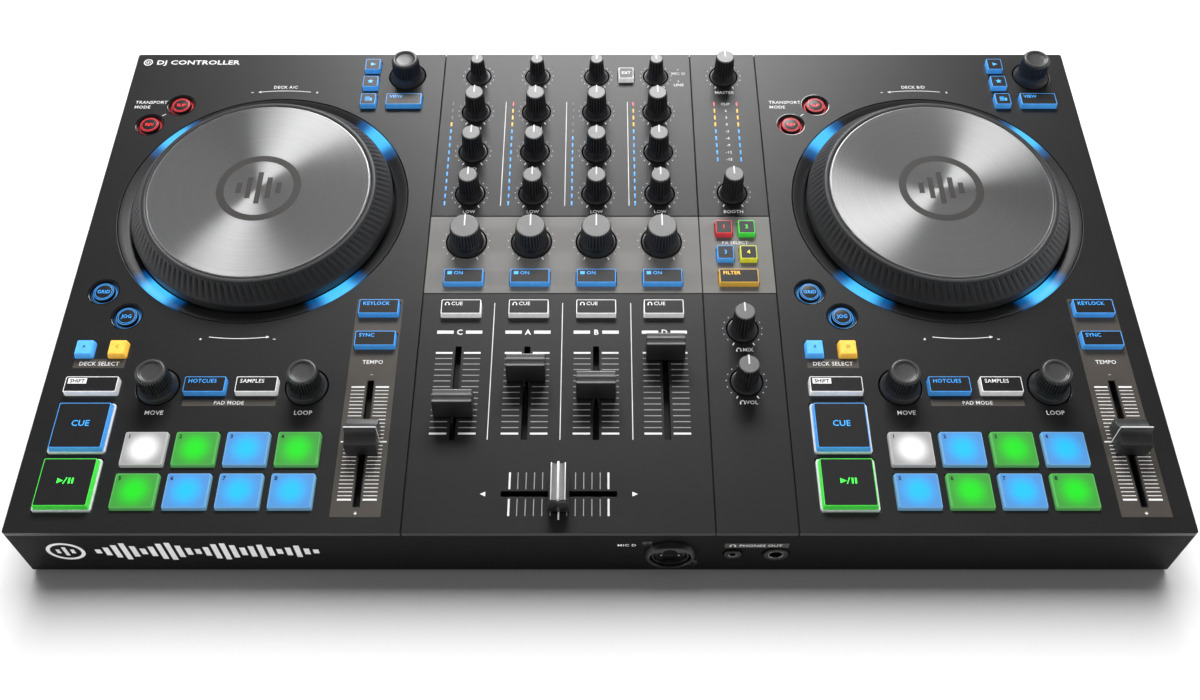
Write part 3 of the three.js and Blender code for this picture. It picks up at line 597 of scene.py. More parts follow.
# Deck buttons: name, x from the deck's middle line, y, width, colour, legend
DECK_KEYS = [
    ("view", TEMPO_X, BROWSE_Y, WIDE, "blue", "VIEW"),
    ("keylock", TEMPO_X, -28.95, WIDE, "blue", "KEYLOCK"),
    ("sync", TEMPO_X, -47.65, WIDE, "blue", "SYNC"),
    ("hotcues", -10.8, MODE_Y, WIDE, "blue", "HOTCUES"),
    ("samples", 13.7, MODE_Y, WIDE, "white", "SAMPLES"),
    ("shift", -64.4, MODE_Y, SHIFT, "white", "SHIFT"),
    ("list", BROWSE_X, BROWSE_Y, SMALL, "blue", "list"),
    ("favourite", BROWSE_X, 124.4, SMALL, "blue", "star"),
    ("preview", BROWSE_X, 137.8, SMALL, "blue", "play"),
    ("deck_one", -72.5, SELECT_Y, LIT, "blue", ""),
    ("deck_two", -56.5, SELECT_Y, LIT, "amber", ""),
]
# Round deck buttons: name, x from the deck's middle line, y, colour, legend
ROUND_KEYS = [
    ("slip", -56.5, 108.8, "red", "SLIP"),
    ("reverse", -71.2, 94.3, "red", "REV"),
    ("grid", -71.4, -18.2, "blue", "GRID"),
    ("jog_mode", -56.8, -33, "blue", "JOG"),
]
ON_Y, LISTEN_Y = -10.3, -29.1
# Mixer buttons: name, x, y, width, colour, legend
MIXER_KEYS = [
    *[(f"effect_on_{c}", x, ON_Y, WIDE, "blue", "ON") for c, x in zip(CHANNELS, CHANNEL_X)],
    *[(f"listen_{c}", x, LISTEN_Y, WIDE, "white", "CUE") for c, x in zip(CHANNELS, CHANNEL_X)],
    ("effect_one", 63.7, 20.8, SMALL, "red", "1"),
    ("effect_two", 75.4, 20.8, SMALL, "green", "2"),
    ("effect_three", 63.7, 4.5, SMALL, "blue", "3"),
    ("effect_four", 75.4, 4.5, SMALL, "yellow", "4"),
    ("filter_on", MASTER_X, ON_Y, WIDE, "amber", "FILTER"),
    ("external", 14.7, 130.9, SMALL, "white", "EXT"),
]
PAD_PITCH, PAD_X = 23.5, -33.1
PAD_ROWS = [-107.1, -128.5]
PLAY_WIDTH, PLAY_DEPTH, PLAY_X = 26.8, 26.4, -64.3
PLAY_ROWS = (-95.9, -125.1)
# Fader slots: middle, length
TEMPO_SLOT, CHANNEL_SLOT = (-103, 65.6), (-76.3, 51.2)
CROSS_Y, CROSS_LENGTH = -129.5, 52.1
CROSS_X = place_of("crossfader")[0]
# Label films: x of the middle from the deck's middle line, y of the middle, width, depth
STRIP_FILM = (TEMPO_X, -81.7, 22.8, 118.2)
MODE_FILM = (1.55, -82.15, 43.9, 3.5)
SELECT_FILM = (-64.25, -60.45, 24.7, 4.9)
FILM_TOP = TOP + 0.03
# Bottom and top of the printing, and the places of its two tones in a material list; the bright
# tone has a painted glow
MARK = (TOP - 0.01, TOP + 0.055)
BRIGHT, DIM = 0, 1
# y of each lamp of a level meter, from the top down
LAMP_Y = [109.7 - 5.07 * i for i in range(15)]


def key_depth(width):
    return KEY_DEPTH if width > LIT else width


def round_hole(x, y, radius, count=64):
    """An opening: its middle, and its outline when it is grown by a distance."""
    return x, y, lambda grow: [(x + px, y + py) for px, py, _ in circle(radius + grow, 0, count)]


def square_hole(x, y, width, depth, corner=0.7):
    return x, y, lambda grow: [(px, py) for px, py, _ in rounded(
        width + 2 * grow, depth + 2 * grow, corner + grow, 0, x, y)]


def key_hole(x, y, width, depth):
    return square_hole(x, y, width + 2 * KEY_GAP, depth + 2 * KEY_GAP)


def all_holes():
    holes = []
    for side, sign in SIDES.items():
        deck = sign * DECK_X
        holes.append(round_hole(deck, JOG_Y, JOG_HOLE, 192))
        holes += [round_hole(*place_of(f"{use}_encoder_{side}"), ENCODER_HOLE)
                  for use in ENCODERS]
        holes += [round_hole(deck + x, y, ROUND_HOLE) for _, x, y, *_ in ROUND_KEYS]
        holes += [key_hole(deck + x, y, width, key_depth(width))
                  for _, x, y, width, *_ in DECK_KEYS]
        holes += [key_hole(deck + PAD_X + column * PAD_PITCH, y, PAD_WIDTH, PAD_DEPTH)
                  for y in PAD_ROWS for column in range(4)]
        holes += [key_hole(deck + PLAY_X, y, PLAY_WIDTH, PLAY_DEPTH) for y in PLAY_ROWS]
        middle, length = TEMPO_SLOT
        holes.append(square_hole(deck + TEMPO_X, middle, SLOT, length, SLOT_CORNER))
    for channel, x in zip(CHANNELS, CHANNEL_X):
        holes += [round_hole(x, place_of(f"{use}_knob_{channel}")[1], radius)
                  for use, radius in KNOB_HOLES.items()]
        middle, length = CHANNEL_SLOT
        holes.append(square_hole(x, middle, SLOT, length, SLOT_CORNER))
    holes += [round_hole(*place_of(knob), KNOB_HOLES["high"]) for knob in MASTER_KNOBS]
    holes += [key_hole(x, y, width, key_depth(width)) for _, x, y, width, *_ in MIXER_KEYS]
    holes.append(square_hole(CROSS_X, CROSS_Y, CROSS_LENGTH, SLOT, SLOT_CORNER))
    return holes


def plate(outer, holes, top, thickness, edge=EDGE):
    """A flat plate with openings, every edge rounded at the top."""
    loops = [(outer, -1)] + [(hole, 1) for hole in holes]
    corners, edges, owners = [], [], []
    for number, (loop, away) in enumerate(loops):
        start = len(corners)
        ring = loop(away * edge)
        corners += [Vector(p) for p in ring]
        owners += [number] * len(ring)
        edges += [(start + i, start + (i + 1) % len(ring)) for i in range(len(ring))]
    flat, _, triangles, sources, *_ = delaunay_2d_cdt(corners, edges, [], 1, 1e-5)
    owner = [owners[source[0]] for source in sources]
    upward = []
    for triangle in triangles:
        if owner[triangle[0]] == 0 or len({owner[i] for i in triangle}) > 1:
            a, b, c = [flat[i] for i in triangle]
            upward.append(triangle if (b - a).cross(c - a) > 0 else triangle[::-1])
    shape = Shape()
    shape.add(([(p.x, p.y, top) for p in flat], upward))
    shape.add(([(p.x, p.y, top - thickness) for p in flat], [t[::-1] for t in upward]))
    steps = [(edge, top), (edge * 0.3, top - edge * 0.3), (0, top - edge),
             (0, top - thickness + edge), (edge, top - thickness)]
    for loop, away in loops:
        rings = [[(x, y, z) for x, y in loop(away * grow)] for grow, z in steps]
        shape.add(loft(rings if away > 0 else rings[::-1], ends=False))
    return shape


def panel_outline(x0, x1, y0, y1):
    """A panel part: corners that lie on the case's corners are rounded, others nearly square."""
    def outline(grow):
        def corner_at(x, y):
            outer = abs(x) > HALF_WIDTH - 1 and abs(y) > HALF_DEPTH - 1
            return max((CORNER if outer else 0.25) + grow, 0.02)
        return rounded_corners((x0 - grow, x1 + grow), (y0 - grow, y1 + grow), corner_at)
    return outline


def build_panel():
    gap = SEAM / 2
    columns = {
        "left_deck": (-HALF_WIDTH, -MIXER_HALF - gap),
        "mixer": (-MIXER_HALF + gap, MASTER_SEAM - gap),
        "master": (MASTER_SEAM + gap, MIXER_HALF - gap),
        "right_deck": (MIXER_HALF + gap, HALF_WIDTH),
    }
    rows = {
        "back": (BAND_TOP + gap, HALF_DEPTH),
        "band": (BAND_BOTTOM + gap, BAND_TOP - gap),
        "front": (-HALF_DEPTH, BAND_BOTTOM - gap),
    }
    holes = all_holes()
    for column, (x0, x1) in columns.items():
        split = {"plate": (-HALF_DEPTH, HALF_DEPTH)} if "deck" in column else rows
        for row, (y0, y1) in split.items():
            inside = [hole for x, y, hole in holes if x0 < x < x1 and y0 < y < y1]
            shape = plate(panel_outline(x0, x1, y0, y1), inside, TOP, PANEL_THICKNESS)
            mesh = shape.mesh([BAND if row == "band" else PANEL], 10, weld=True)
            piece(f"panel_{column}_{row}", mesh, replaces=["top_case"])
    # Near-black strips below the seams, standing for the shade in the gaps
    seams = Shape()
    bed = (TOP - PANEL_THICKNESS + 0.5, TOP - 1.1)
    for x in (-MIXER_HALF, MASTER_SEAM, MIXER_HALF):
        seams.add(bar(x, 0, SEAM, 2 * HALF_DEPTH - 1, *bed))
    for y in (BAND_TOP, BAND_BOTTOM):
        for x0, x1 in ((-MIXER_HALF, MASTER_SEAM), (MASTER_SEAM, MIXER_HALF)):
            seams.add(bar((x0 + x1) / 2, y, x1 - x0 - SEAM, SEAM, *bed))
    piece("seam_shade_bed", seams.mesh([SEAM_SHADE]))


def build_films():
    for side, sign in SIDES.items():
        deck = sign * DECK_X
        x, y, width, depth = STRIP_FILM
        openings = [key_hole(deck + TEMPO_X, ky, WIDE + 0.6, KEY_DEPTH + 0.6)
                    for name, _, ky, *_ in DECK_KEYS if name in ("keylock", "sync")]
        middle, length = TEMPO_SLOT
        openings.append(square_hole(deck + TEMPO_X, middle, SLOT + 0.8, length + 0.8, 0.6))
        *_, outline = square_hole(deck + x, y, width, depth, 0.3)
        shape = plate(outline, [hole for *_, hole in openings], FILM_TOP, 0.06, 0.015)
        piece(f"tempo_film_{side}", shape.mesh([FILM], 10, weld=True))
        labels = Shape()
        for x, y, width, depth in (MODE_FILM, SELECT_FILM):
            labels.add(bar(deck + x, y, width, depth, TOP - 0.03, FILM_TOP))
        piece(f"label_films_{side}", labels.mesh([FILM]))


# ------------------------------------------------------------------------------- print


class Print(Shape):
    """Printing on the panel, in the bright print with its painted glow unless told otherwise."""

    def mark(self, draw, *sizes, material=BRIGHT):
        self.add(draw(*sizes, *MARK), material)

    def label(self, text, x, y, height, **style):
        self.add(letters(text, height, x, y, *MARK, **style))

    def plus(self, x, y, span, line):
        self.mark(bar, x, y, span, line)
        self.add(bar(x, y, line, span, MARK[0], MARK[1] + 0.003))

    def scale(self, x, y, radius):
        """Fifteen marks round a knob, from the lower left to the lower right."""
        for i in range(15):
            angle = math.radians(90 + 150 - 300 * i / 14)
            across, up = math.cos(angle), math.sin(angle)
            if i in (0, 14):
                reach = [(x + r * across, y + r * up) for r in (radius - 0.5, radius + 1.0)]
                self.mark(ribbon, reach, 0.5)
            else:
                self.mark(dot, x + radius * across, y + radius * up, 0.25)


def deck_print(sign):
    deck, ink = sign * DECK_X, Print()
    strip = deck + TEMPO_X
    for text, x, y, height in (
            ("DECK A/C" if sign < 0 else "DECK B/D", -0.3, 122.6, 2.0),
            ("MOVE", -32.7, -87.5, 2.2), ("LOOP", 37, -87.5, 2.2),
            ("PAD MODE", 1.5, -82.15, 1.9), ("DECK SELECT", -64.3, -60.45, 2.1),
            ("TEMPO", TEMPO_X - 0.2, -59.5, 2.1)):
        ink.label(text, deck + x, y, height)
    for text, y in (("TRANSPORT", 111.0), ("MODE", 107.4)):
        ink.label(text, deck - 82.2, y, 2.1, align="LEFT")
    ink.mark(ribbon, [(deck - 65.4, 100.8), (deck - 63.6, 102.2)], 0.4)
    for y, head, minus, plus, bow in ((119.3, -1, -18.4, 17.8, 0.9),
                                      (-45.6, 1, 17.7, -18.2, -0.9)):
        path = [(deck + 14.2 * t, y + bow * (0.5 - t * t))
                for t in [i / 10 - 1 for i in range(21)]]
        ink.mark(ribbon, path, 0.35)
        ink.mark(arrow, *path[0 if head < 0 else -1], 1.0, 180 if head < 0 else 0)
        ink.mark(bar, deck + minus, y - 0.8, 1.3, 0.35)
        ink.plus(deck + plus, y - 0.8, 1.3, 0.35)
    ink.mark(bar, strip, -66.7, 1.4, 0.4, material=DIM)
    ink.plus(strip, -139, 1.5, 0.4)
    top_y, bottom_y, last = -73.5, -132.3, 30
    for i in range(last + 1):
        y = top_y + (bottom_y - top_y) * i / last
        reach, thick = {0: (6.3, 0.9), last: (6.3, 0.9), last / 2: (8.0, 0.7)}.get(i, (6.3, 0.36))
        for flank in (-1, 1):
            ink.mark(bar, strip + flank * (2.6 + reach / 2), y, reach, thick)
    return ink


def channel_print(ink):
    """Scales, tone names, the channel's letter and the fader's scale, channel by channel."""
    for channel, x in zip(CHANNELS, CHANNEL_X):
        for knob, radius in SCALES.items():
            ink.scale(x, place_of(f"{knob}_knob_{channel}")[1], radius)
        for text, y in (("HIGH", 91.7), ("MID", 62.4), ("LOW", 33.1)):
            ink.label(text, x, y, 1.9)
        ink.label(channel.upper(), x, -42.3, 3.0, bold=0.25)
        for flank in (-1, 1):
            ink.mark(bar, x + flank * 7, -42.3, 8, 1.8)
            for i in range(15):
                end = i in (0, 14)
                ink.mark(bar, x + flank * 6.75, -54.3 - 3.165 * i, 8.1, 1.0 if end else 0.45,
                         material=BRIGHT if end else DIM)
    for x in (-52.1, -18.5, 15.2):
        for low, high in ((37, 111.3), (-101.8, -25)):
            ink.mark(bar, x, (low + high) / 2, 0.4, high - low)


def master_print(ink):
    """The names and scales on the right, and the figures between the master meters."""
    for knob, text, drop in zip(MASTER_KNOBS, ("MASTER", "BOOTH", "MIX", "VOL"),
                                (12.3, 12.5, 11.8, 11.3)):
        x, y = place_of(knob)
        ink.scale(x, y, SCALES["high"])
        if "phones" in knob:
            for part in headphones(x - 2.5, y - drop + 0.2, 2.6, *MARK):
                ink.add(part)
            x += 1.9
        ink.label(text, x, y - drop, 2.0)
    ink.label("FX SELECT", MASTER_X - 0.4, 12.7, 1.9)
    for text, y, mark in (("MIC D", 133.2, 136.3), ("LINE", 124.4, 127.3)):
        ink.label(text, 44.2, y, 1.9)
        ink.mark(dot, 44.2, mark, 0.4)
    for text, y in zip(["CLIP", "6", "3", "0", "-3", "-6", "-9", "-12", "-15"], LAMP_Y):
        ink.label(text, MASTER_X, y, 1.7)


def crossfader_print(ink):
    """Two rows of lines along the crossfader, a middle mark and an arrow at either end."""
    away, long, pitch, last = 6.6, 8.4, 3.72, 6
    for y in (CROSS_Y + away, CROSS_Y - away):
        for half in (-1, 1):
            for i in range(1, last + 1):
                ink.mark(bar, CROSS_X + half * i * pitch, y, 0.9 if i == last else 0.42, long,
                         material=BRIGHT if i == last else DIM)
    ink.mark(bar, CROSS_X, CROSS_Y - 7.6, 0.7, 10)
    ink.mark(bar, CROSS_X, CROSS_Y + away, 0.7, long)
    ink.mark(arrow, CROSS_X - 34, CROSS_Y, 1.5, 180)
    ink.mark(arrow, CROSS_X + 34, CROSS_Y, 1.5, 0)


def build_print():
    for side, sign in SIDES.items():
        piece(f"deck_print_{side}", deck_print(sign).mesh([PRINT_PAINTED_GLOW, PRINT_DIM]))
    mixer = Print()
    for draw in (channel_print, master_print, crossfader_print):
        draw(mixer)
    piece("mixer_print", mixer.mesh([PRINT_PAINTED_GLOW, PRINT_DIM]))
    badge = (-257.4, 142.1)
    corner = Print()
    corner.mark(annulus, *badge, 2.5, 1.9)
    for part in sign_bars([1.4, 2.6, 1.4], 0.95, 0.5, *badge, *MARK):
        corner.add(part)
    corner.label("DJ CONTROLLER", -252.6, 142.1, 3.3, align="LEFT", bold=0.2, wide=1.3)
    piece("badge_print", corner.mesh([PRINT_PAINTED_GLOW]))


def build_meters():
    blue, amber, red, off = range(4)
    full = [red] + [amber] * 3
    columns = {
        "c": (CHANNEL_X[0] - 13.1, [off] * 3 + [amber] + [blue] * 11),
        "a": (CHANNEL_X[1] - 13.0, full + [blue] * 11),
        "b": (CHANNEL_X[2] - 13.0, [off] * 5 + [blue] * 10),
        "d": (CHANNEL_X[3] - 13.0, full + [blue] * 11),
        "master_left": (MASTER_X - 6.3, full + [blue] * 5),
        "master_right": (MASTER_X + 6.3, full + [blue] * 5),
    }
    lens = loft([rounded(0.8, 2.9, 0.25, TOP - 0.3), rounded(0.8, 2.9, 0.25, TOP + 0.06),
                 rounded(0.6, 2.7, 0.25, TOP + 0.12)])
    for name, (x, lamps) in columns.items():
        shape = Shape()
        for y, lamp in zip(LAMP_Y, lamps):
            shape.add(lens, lamp, (x, y, 0))
        piece(f"meter_{name}", shape.mesh([*METER.values(), LAMP_OFF]))


# ------------------------------------------------------------------------------- walls

FRONT, REAR = -1, 1
REAR_Z, PHONO_RISE = 20, 6
MIC_X, MIC_Z = 31.8, 22
JACK_X, MINI_X, PHONES_Z = 79.6, 60.1, 21.5
JACKS_X, PHONOS_X = [20, 42, 75, 97], [-60, -35, 125]
USB_X, POWER_X = 185, 222
PHONO_HOLE, JACK_HOLE, MINI_HOLE, POWER_HOLE, MIC_HOLE = 4.4, 6.0, 4.3, 5.7, 10.7
PHONOS = [(x, level) for x in PHONOS_X for level in (-1, 1)]


class WallShape(Shape):
    """Parts drawn along +Z, set to face out of the front or the rear wall."""

    def __init__(self, outward):
        super().__init__()
        self.face = outward * HALF_DEPTH
        self.facing = Matrix.Rotation(math.radians(-90 * outward), 4, "X")

    def put(self, part, x=0, z=0, material=0):
        self.add(part, material, (x, self.face, z), self.facing)


def cutter(radius, x, z, outward):
    """A round cutter whose mouth flares at the wall's outer face."""
    deep, flare = 6, 0.35
    shape = WallShape(outward)
    shape.put(turned([(radius, -deep), (radius, -flare), (radius + flare, 0),
                      (radius + flare, 1)]), x, z)
    return shape


def carve(item, shape):
    """Takes a shape out of an object for good."""
    tool = shown("cutter", shape.mesh([]))
    cut = item.modifiers.new("cut", "BOOLEAN")
    cut.operation, cut.solver, cut.object = "DIFFERENCE", "EXACT", tool
    bpy.context.view_layer.update()
    graph = bpy.context.evaluated_depsgraph_get()
    result = bpy.data.meshes.new_from_object(item.evaluated_get(graph))
    item.modifiers.clear()
    item.data = result
    bpy.data.objects.remove(tool)


def build_walls():
    wall, bottom, top = 2.7, WALL_BOTTOM, TOP - PANEL_THICKNESS
    shape = Shape()
    shape.add(loft([rounded(2 * (HALF_WIDTH - inset), 2 * (HALF_DEPTH - inset),
                            max(CORNER - inset, 0.3), z)
                    for inset, z in ((wall, bottom), (0.5, bottom), (0.15, bottom + 0.15),
                                     (0, bottom + 0.5), (0, top), (wall, top))], ring=True))
    walls = shown("case_walls", shape.mesh([WALL], 25))
    holes = [(MIC_HOLE, MIC_X, MIC_Z, FRONT), (JACK_HOLE, JACK_X, PHONES_Z, FRONT),
             (MINI_HOLE, MINI_X, PHONES_Z, FRONT), (POWER_HOLE, POWER_X, REAR_Z, REAR)]
    holes += [(JACK_HOLE, x, REAR_Z, REAR) for x in JACKS_X]
    holes += [(PHONO_HOLE, x, REAR_Z + level * PHONO_RISE, REAR) for x, level in PHONOS]
    usb = Shape()
    usb.add(loft([[(x, y, z) for x, z, y in rounded(12.6, 11.4, 0.8, HALF_DEPTH + side)]
                  for side in (1, -5)]), 0, (USB_X, 0, REAR_Z))
    for shape in [*[cutter(*hole) for hole in holes], usb]:
        carve(walls, shape)
    walls.data.set_sharp_from_angle(angle=math.radians(25))
    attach(walls, "case")
    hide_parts("top_case")


# ------------------------------------------------------------------------------- jog wheels


def rim_mesh():
    """The wheel's side: a smooth foot, slanting ribs on the slope and a smooth shoulder."""
    ribs, per_rib = 116, 8
    slope_start, slope_height, lean = 4, 8, 0.9
    # Radius, height and how deep the ribs are cut
    profile = [(67.1, -2, 0), (67.5, -1.6, 0), (67.5, 2.9, 0), (67.35, 3.5, 0), (67.0, 4.1, 0.05),
               (66.4, 4.9, 0.2), (65.4, 6.2, 0.55), (64.1, 7.8, 0.9), (62.8, 9.4, 1),
               (61.7, 10.7, 1), (61.0, 11.5, 0.8), (60.6, 12.0, 0.3), (60.2, 12.45, 0),
               (59.9, 12.85, 0), (59.4, 13, 0), (57.75, 13, 0), (57.6, 12.9, 0), (57.6, 11.2, 0)]

    def ribbed(base, z, depth):
        phase = lean * (z - slope_start) / slope_height
        return lambda angle: base - depth * max(
            0.0, math.cos(TAU * (angle * ribs / TAU + phase))) ** 3.5

    shape = Shape()
    shape.add(loft([circle(ribbed(r, z, depth) if depth else r, z, ribs * per_rib)
                    for r, z, depth in profile]))
    return shape.mesh([RIM], 40)


def disc_mesh(side):
    """A brushed disc with a polished chamfer round it."""
    shape = Shape()
    shape.add(turned([(56.3, 12.0), (56.6, 13.3), (56.5, 13.36), (0.5, 13.36)], 192))
    shape.add(turned_ring([(56.4, 11.8), (57.3, 11.9), (57.3, 12.9), (57.2, 13.0), (56.75, 13.34),
                           (56.55, 13.38), (56.4, 13.3)], 192), 1)
    return shape.mesh([BRUSHED[side], CHAMFER], 20)


def emblem_mesh():
    """A printed ring round a sound wave."""
    shape = Shape()
    level = (13.3, 13.4)
    shape.add(annulus(0, 0, 21.7, 17.9, *level, steps=96))
    for part in sign_bars([7, 14, 21, 14, 7], 5.1, 2.7, 0, 0, *level):
        shape.add(part)
    return shape.mesh([EMBLEM])


def ring_mesh():
    shape = Shape()
    shape.add(turned_ring([(68.3, -5), (78, -5), (78, -3.3), (75.0, -3.3), (75.0, -0.35),
                           (74.8, -0.12), (74.0, -0.2), (72.5, -0.5), (70.5, -0.95), (68.6, -1.35),
                           (68.3, -1.6)], 192))
    return shape.mesh([RING], 40)


def build_jogs():
    rim, emblem, ring = rim_mesh(), emblem_mesh(), ring_mesh()
    for side in SIDES:
        at = (*place_of(f"jog_rim_{side}"), TOP)
        body = f"jog_wheel_{side}"
        piece(f"wheel_rim_{side}", rim, body, at, [f"jog_rim_{side}"])
        piece(f"wheel_disc_{side}", disc_mesh(side), body, at, [f"jog_disc_{side}"])
        piece(f"wheel_emblem_{side}", emblem, body, at)
        piece(f"glow_ring_{side}", ring, "case", at, [f"light_ring_{side}"])


# ------------------------------------------------------------------------------- knobs


def flutes(rows, ribs, depth, sharp):
    """Loops with ribs round them; rows give radius, share of the full depth and height."""
    def fluted(base, cut):
        return lambda angle: base - cut * (1 - (0.5 + 0.5 * math.cos(angle * ribs)) ** sharp)
    return [circle(fluted(base, depth * share), z, ribs * 8) for base, share, z in rows]


def knob_mesh(skirt, foot, top, height, ribs):
    """A flat flange, a fluted grip, a pale fluted cap and a white pointer with a painted glow."""
    depth, sharp, count = 0.6, 0.6, ribs * 8
    grip_start, grip_end = 4.2, height - 0.8
    flange = [(skirt - 0.2, -1.2), (skirt, -1.0), (skirt - 0.1, -0.9), (skirt - 0.15, 0.0),
              (skirt - 0.3, 0.15), (skirt - 0.9, 0.25), (foot + 0.55, 0.6), (foot + 0.28, 1.3),
              (foot + 0.1, 2.3), (foot + 0.02, 3.4)]
    grip = [(foot + (top - foot) * share + 0.1, amount,
             grip_start + (grip_end - grip_start) * share)
            for share, amount in ((0, 0.3), (0.07, 1), (0.5, 1), (1, 1))]
    shape = Shape()
    shape.add(loft([circle(r, z, count) for r, z in flange] + flutes(grip, ribs, depth, sharp)))
    teeth = [(top + 0.04, 0.9, grip_end - 0.2), (top + 0.04, 0.9, height - 0.5),
             (top - 0.12, 0.8, height - 0.18), (top - 0.4, 0.35, height - 0.05)]
    face = [circle(top - inset, height - 0.05, count) for inset in (0.85, 1.2)]
    shape.add(loft(flutes(teeth, ribs, depth, sharp) + face), 1)
    line = 0.36
    shape.add(cushion(2 * line, top, height - 0.2, height, 0.2, 0.03), 2,
              (0, top + 0.02 - top / 2, 0))
    slope = (foot - top) / (height - 3.2)
    outline = [(-line, height), (line, height), (line, height - 5.2), (-line, height - 5.2)]
    front, back = [[(x, top + out + slope * (height - z), z) for x, z in outline]
                   for out in (0.14, -0.3)]
    shape.add(loft([front, back]), 2)
    return shape.mesh([KNOB, KNOB_TOP, POINTER_PAINTED_GLOW], 30)


def encoder_mesh():
    """An endless knob: a flared foot, a knurled grip with a toothed edge and a dished top."""
    ribs, depth, sharp = 36, 0.6, 0.8

    def plain(profile):
        return [circle(r, z, ribs * 8) for r, z in profile]

    shape = Shape()
    foot = plain([(9.5, -1.2), (9.7, -1.0), (9.7, 0.0), (9.6, 0.25), (9.3, 0.5), (8.75, 1.1),
                  (8.2, 2.1), (7.9, 3.1), (7.75, 3.7)])
    grip = [(7.75, 0.2, 4.0), (7.75, 1, 4.5), (7.62, 1, 8), (7.45, 1, 12.6)]
    shape.add(loft(foot + flutes(grip, ribs, depth, sharp)))
    teeth = [(7.42, 1, 12.5), (7.4, 1, 12.9), (7.2, 0.9, 13.3), (6.85, 0.5, 13.65)]
    dish = plain([(6.45, 13.88), (6.1, 14), (5.7, 13.97), (5.3, 13.8), (5.0, 13.5), (4.75, 13.3),
                  (4.3, 13.2), (2, 13.15)])
    shape.add(loft(flutes(teeth, ribs, depth, sharp) + dish), 1)
    return shape.mesh([KNOB, ENCODER_TOP], 30)


def build_knobs():
    tone, encoder = knob_mesh(7.45, 5.55, 4.95, 16, 24), encoder_mesh()
    kinds = {"gain": knob_mesh(6.6, 4.3, 3.6, 14.3, 18), "filter": knob_mesh(10, 8.2, 7.4, 14, 32)}
    for use in KNOB_HOLES:
        for channel in CHANNELS:
            stand_in(f"{use}_knob_{channel}", kinds.get(use, tone))
    for knob in MASTER_KNOBS:
        stand_in(knob, tone)
    for side in SIDES:
        for use in ENCODERS:
            stand_in(f"{use}_encoder_{side}", encoder)


# ------------------------------------------------------------------------------- faders


def mirrored(half):
    """A closed outline from its right half, listed from the bottom up."""
    return half + [(-y, z) for y, z in reversed(half)]


def stem(shape):
    shape.add(cushion(1.5, 4.4, -5.7, 2, 0.3, 0.1))


def mixer_cap_mesh(bright):
    """A cap with steep flanks and a dished top, whose middle ridge and lips stand up; bright gives
    the ridge and added lips paler finishes as painted highlight.
    """
    shape = Shape()
    flank = mirrored([(4.75, 1.0), (4.7, 3.5), (4.55, 6.0), (4.3, 8.2), (4.0, 10.0), (3.7, 11.4),
                      (3.5, 12.2), (3.3, 12.6), (2.9, 12.66), (2.1, 12.35), (1.3, 12.0),
                      (0.9, 11.9)])
    shape.add(prism(flank, 18.6, 0.3))
    trough = mirrored([(3.35, 12.2), (3.3, 12.73), (2.9, 12.78), (2.1, 12.41), (1.3, 12.06),
                       (0.9, 11.96)])
    shape.add(prism(trough, 18.0, 0.02), 2)
    ridge = mirrored([(0.7, 11.8), (0.5, 12.6), (0.45, 13.5), (0.3, 13.8)])
    shape.add(prism(ridge, 18.5, 0.12), 1)
    if bright:
        for side in (-1, 1):
            lip = [(side * y, z) for y, z in ((3.0, 12.5), (3.35, 12.5), (3.3, 12.9), (2.9, 12.95))]
            shape.add(prism(lip[::side], 18.3, 0.05), 1)
    stem(shape)
    return shape.mesh([CAP, RIDGE_HIGHLIGHT, LIP_HIGHLIGHT] if bright else [CAP, CAP_TOP, CAP_TOP], 30)


def tempo_cap_mesh():
    """A deep block whose concave flanks sweep up to a ridge, marked by a white line with a painted
    glow.
    """
    shape = Shape()
    half = [(7.3, 1.0), (7.3, 8.3), (7.15, 8.9), (6.7, 9.3)]
    for i in range(1, 9):
        t = i / 8
        half.append([(1 - t) ** 2 * start + 2 * t * (1 - t) * middle + t * t * end
                     for start, middle, end in ((6.3, 1.9, 0.5), (9.4, 9.8, 13.55))])
    half.append((0.35, 13.75))
    shape.add(prism(mirrored(half), 14.7, 0.35))
    shape.add(cushion(14.5, 0.62, 12.8, 14.0, 0.2, 0.12), 1)
    for side in (-1, 1):
        shape.add(cushion(0.5, 0.55, 1.2, 13.95, 0.1, 0.1), 1, (side * 7.2, 0, 0))
    stem(shape)
    return shape.mesh([CAP, POINTER_PAINTED_GLOW], 26)


def build_faders():
    channel_cap, tempo_cap = mixer_cap_mesh(False), tempo_cap_mesh()
    for channel in CHANNELS:
        stand_in(f"channel_fader_{channel}", channel_cap, "cap")
    cross = stand_in("crossfader", mixer_cap_mesh(True), "cap")
    cross.rotation_euler.z = math.pi / 2
    for side in SIDES:
        stand_in(f"tempo_fader_{side}", tempo_cap, "cap")


# ------------------------------------------------------------------------------- buttons


def key_shape(width, depth):
    """A tinted body with a dark window in its top."""
    border, draft = 0.42, 0.12
    shape = Shape()
    shape.add(cushion(width, depth, KEY_FOOT, KEY_RISE, 0.7, 0.18, draft))
    across, along = [size - 2 * (draft + border) for size in (width, depth)]
    shape.add(loft([rounded(across, along, 0.4, KEY_RISE - 0.3),
                    rounded(across, along, 0.4, KEY_RISE + 0.02),
                    rounded(across - 0.04, along - 0.04, 0.38, KEY_RISE + 0.05)]), 1)
    return shape


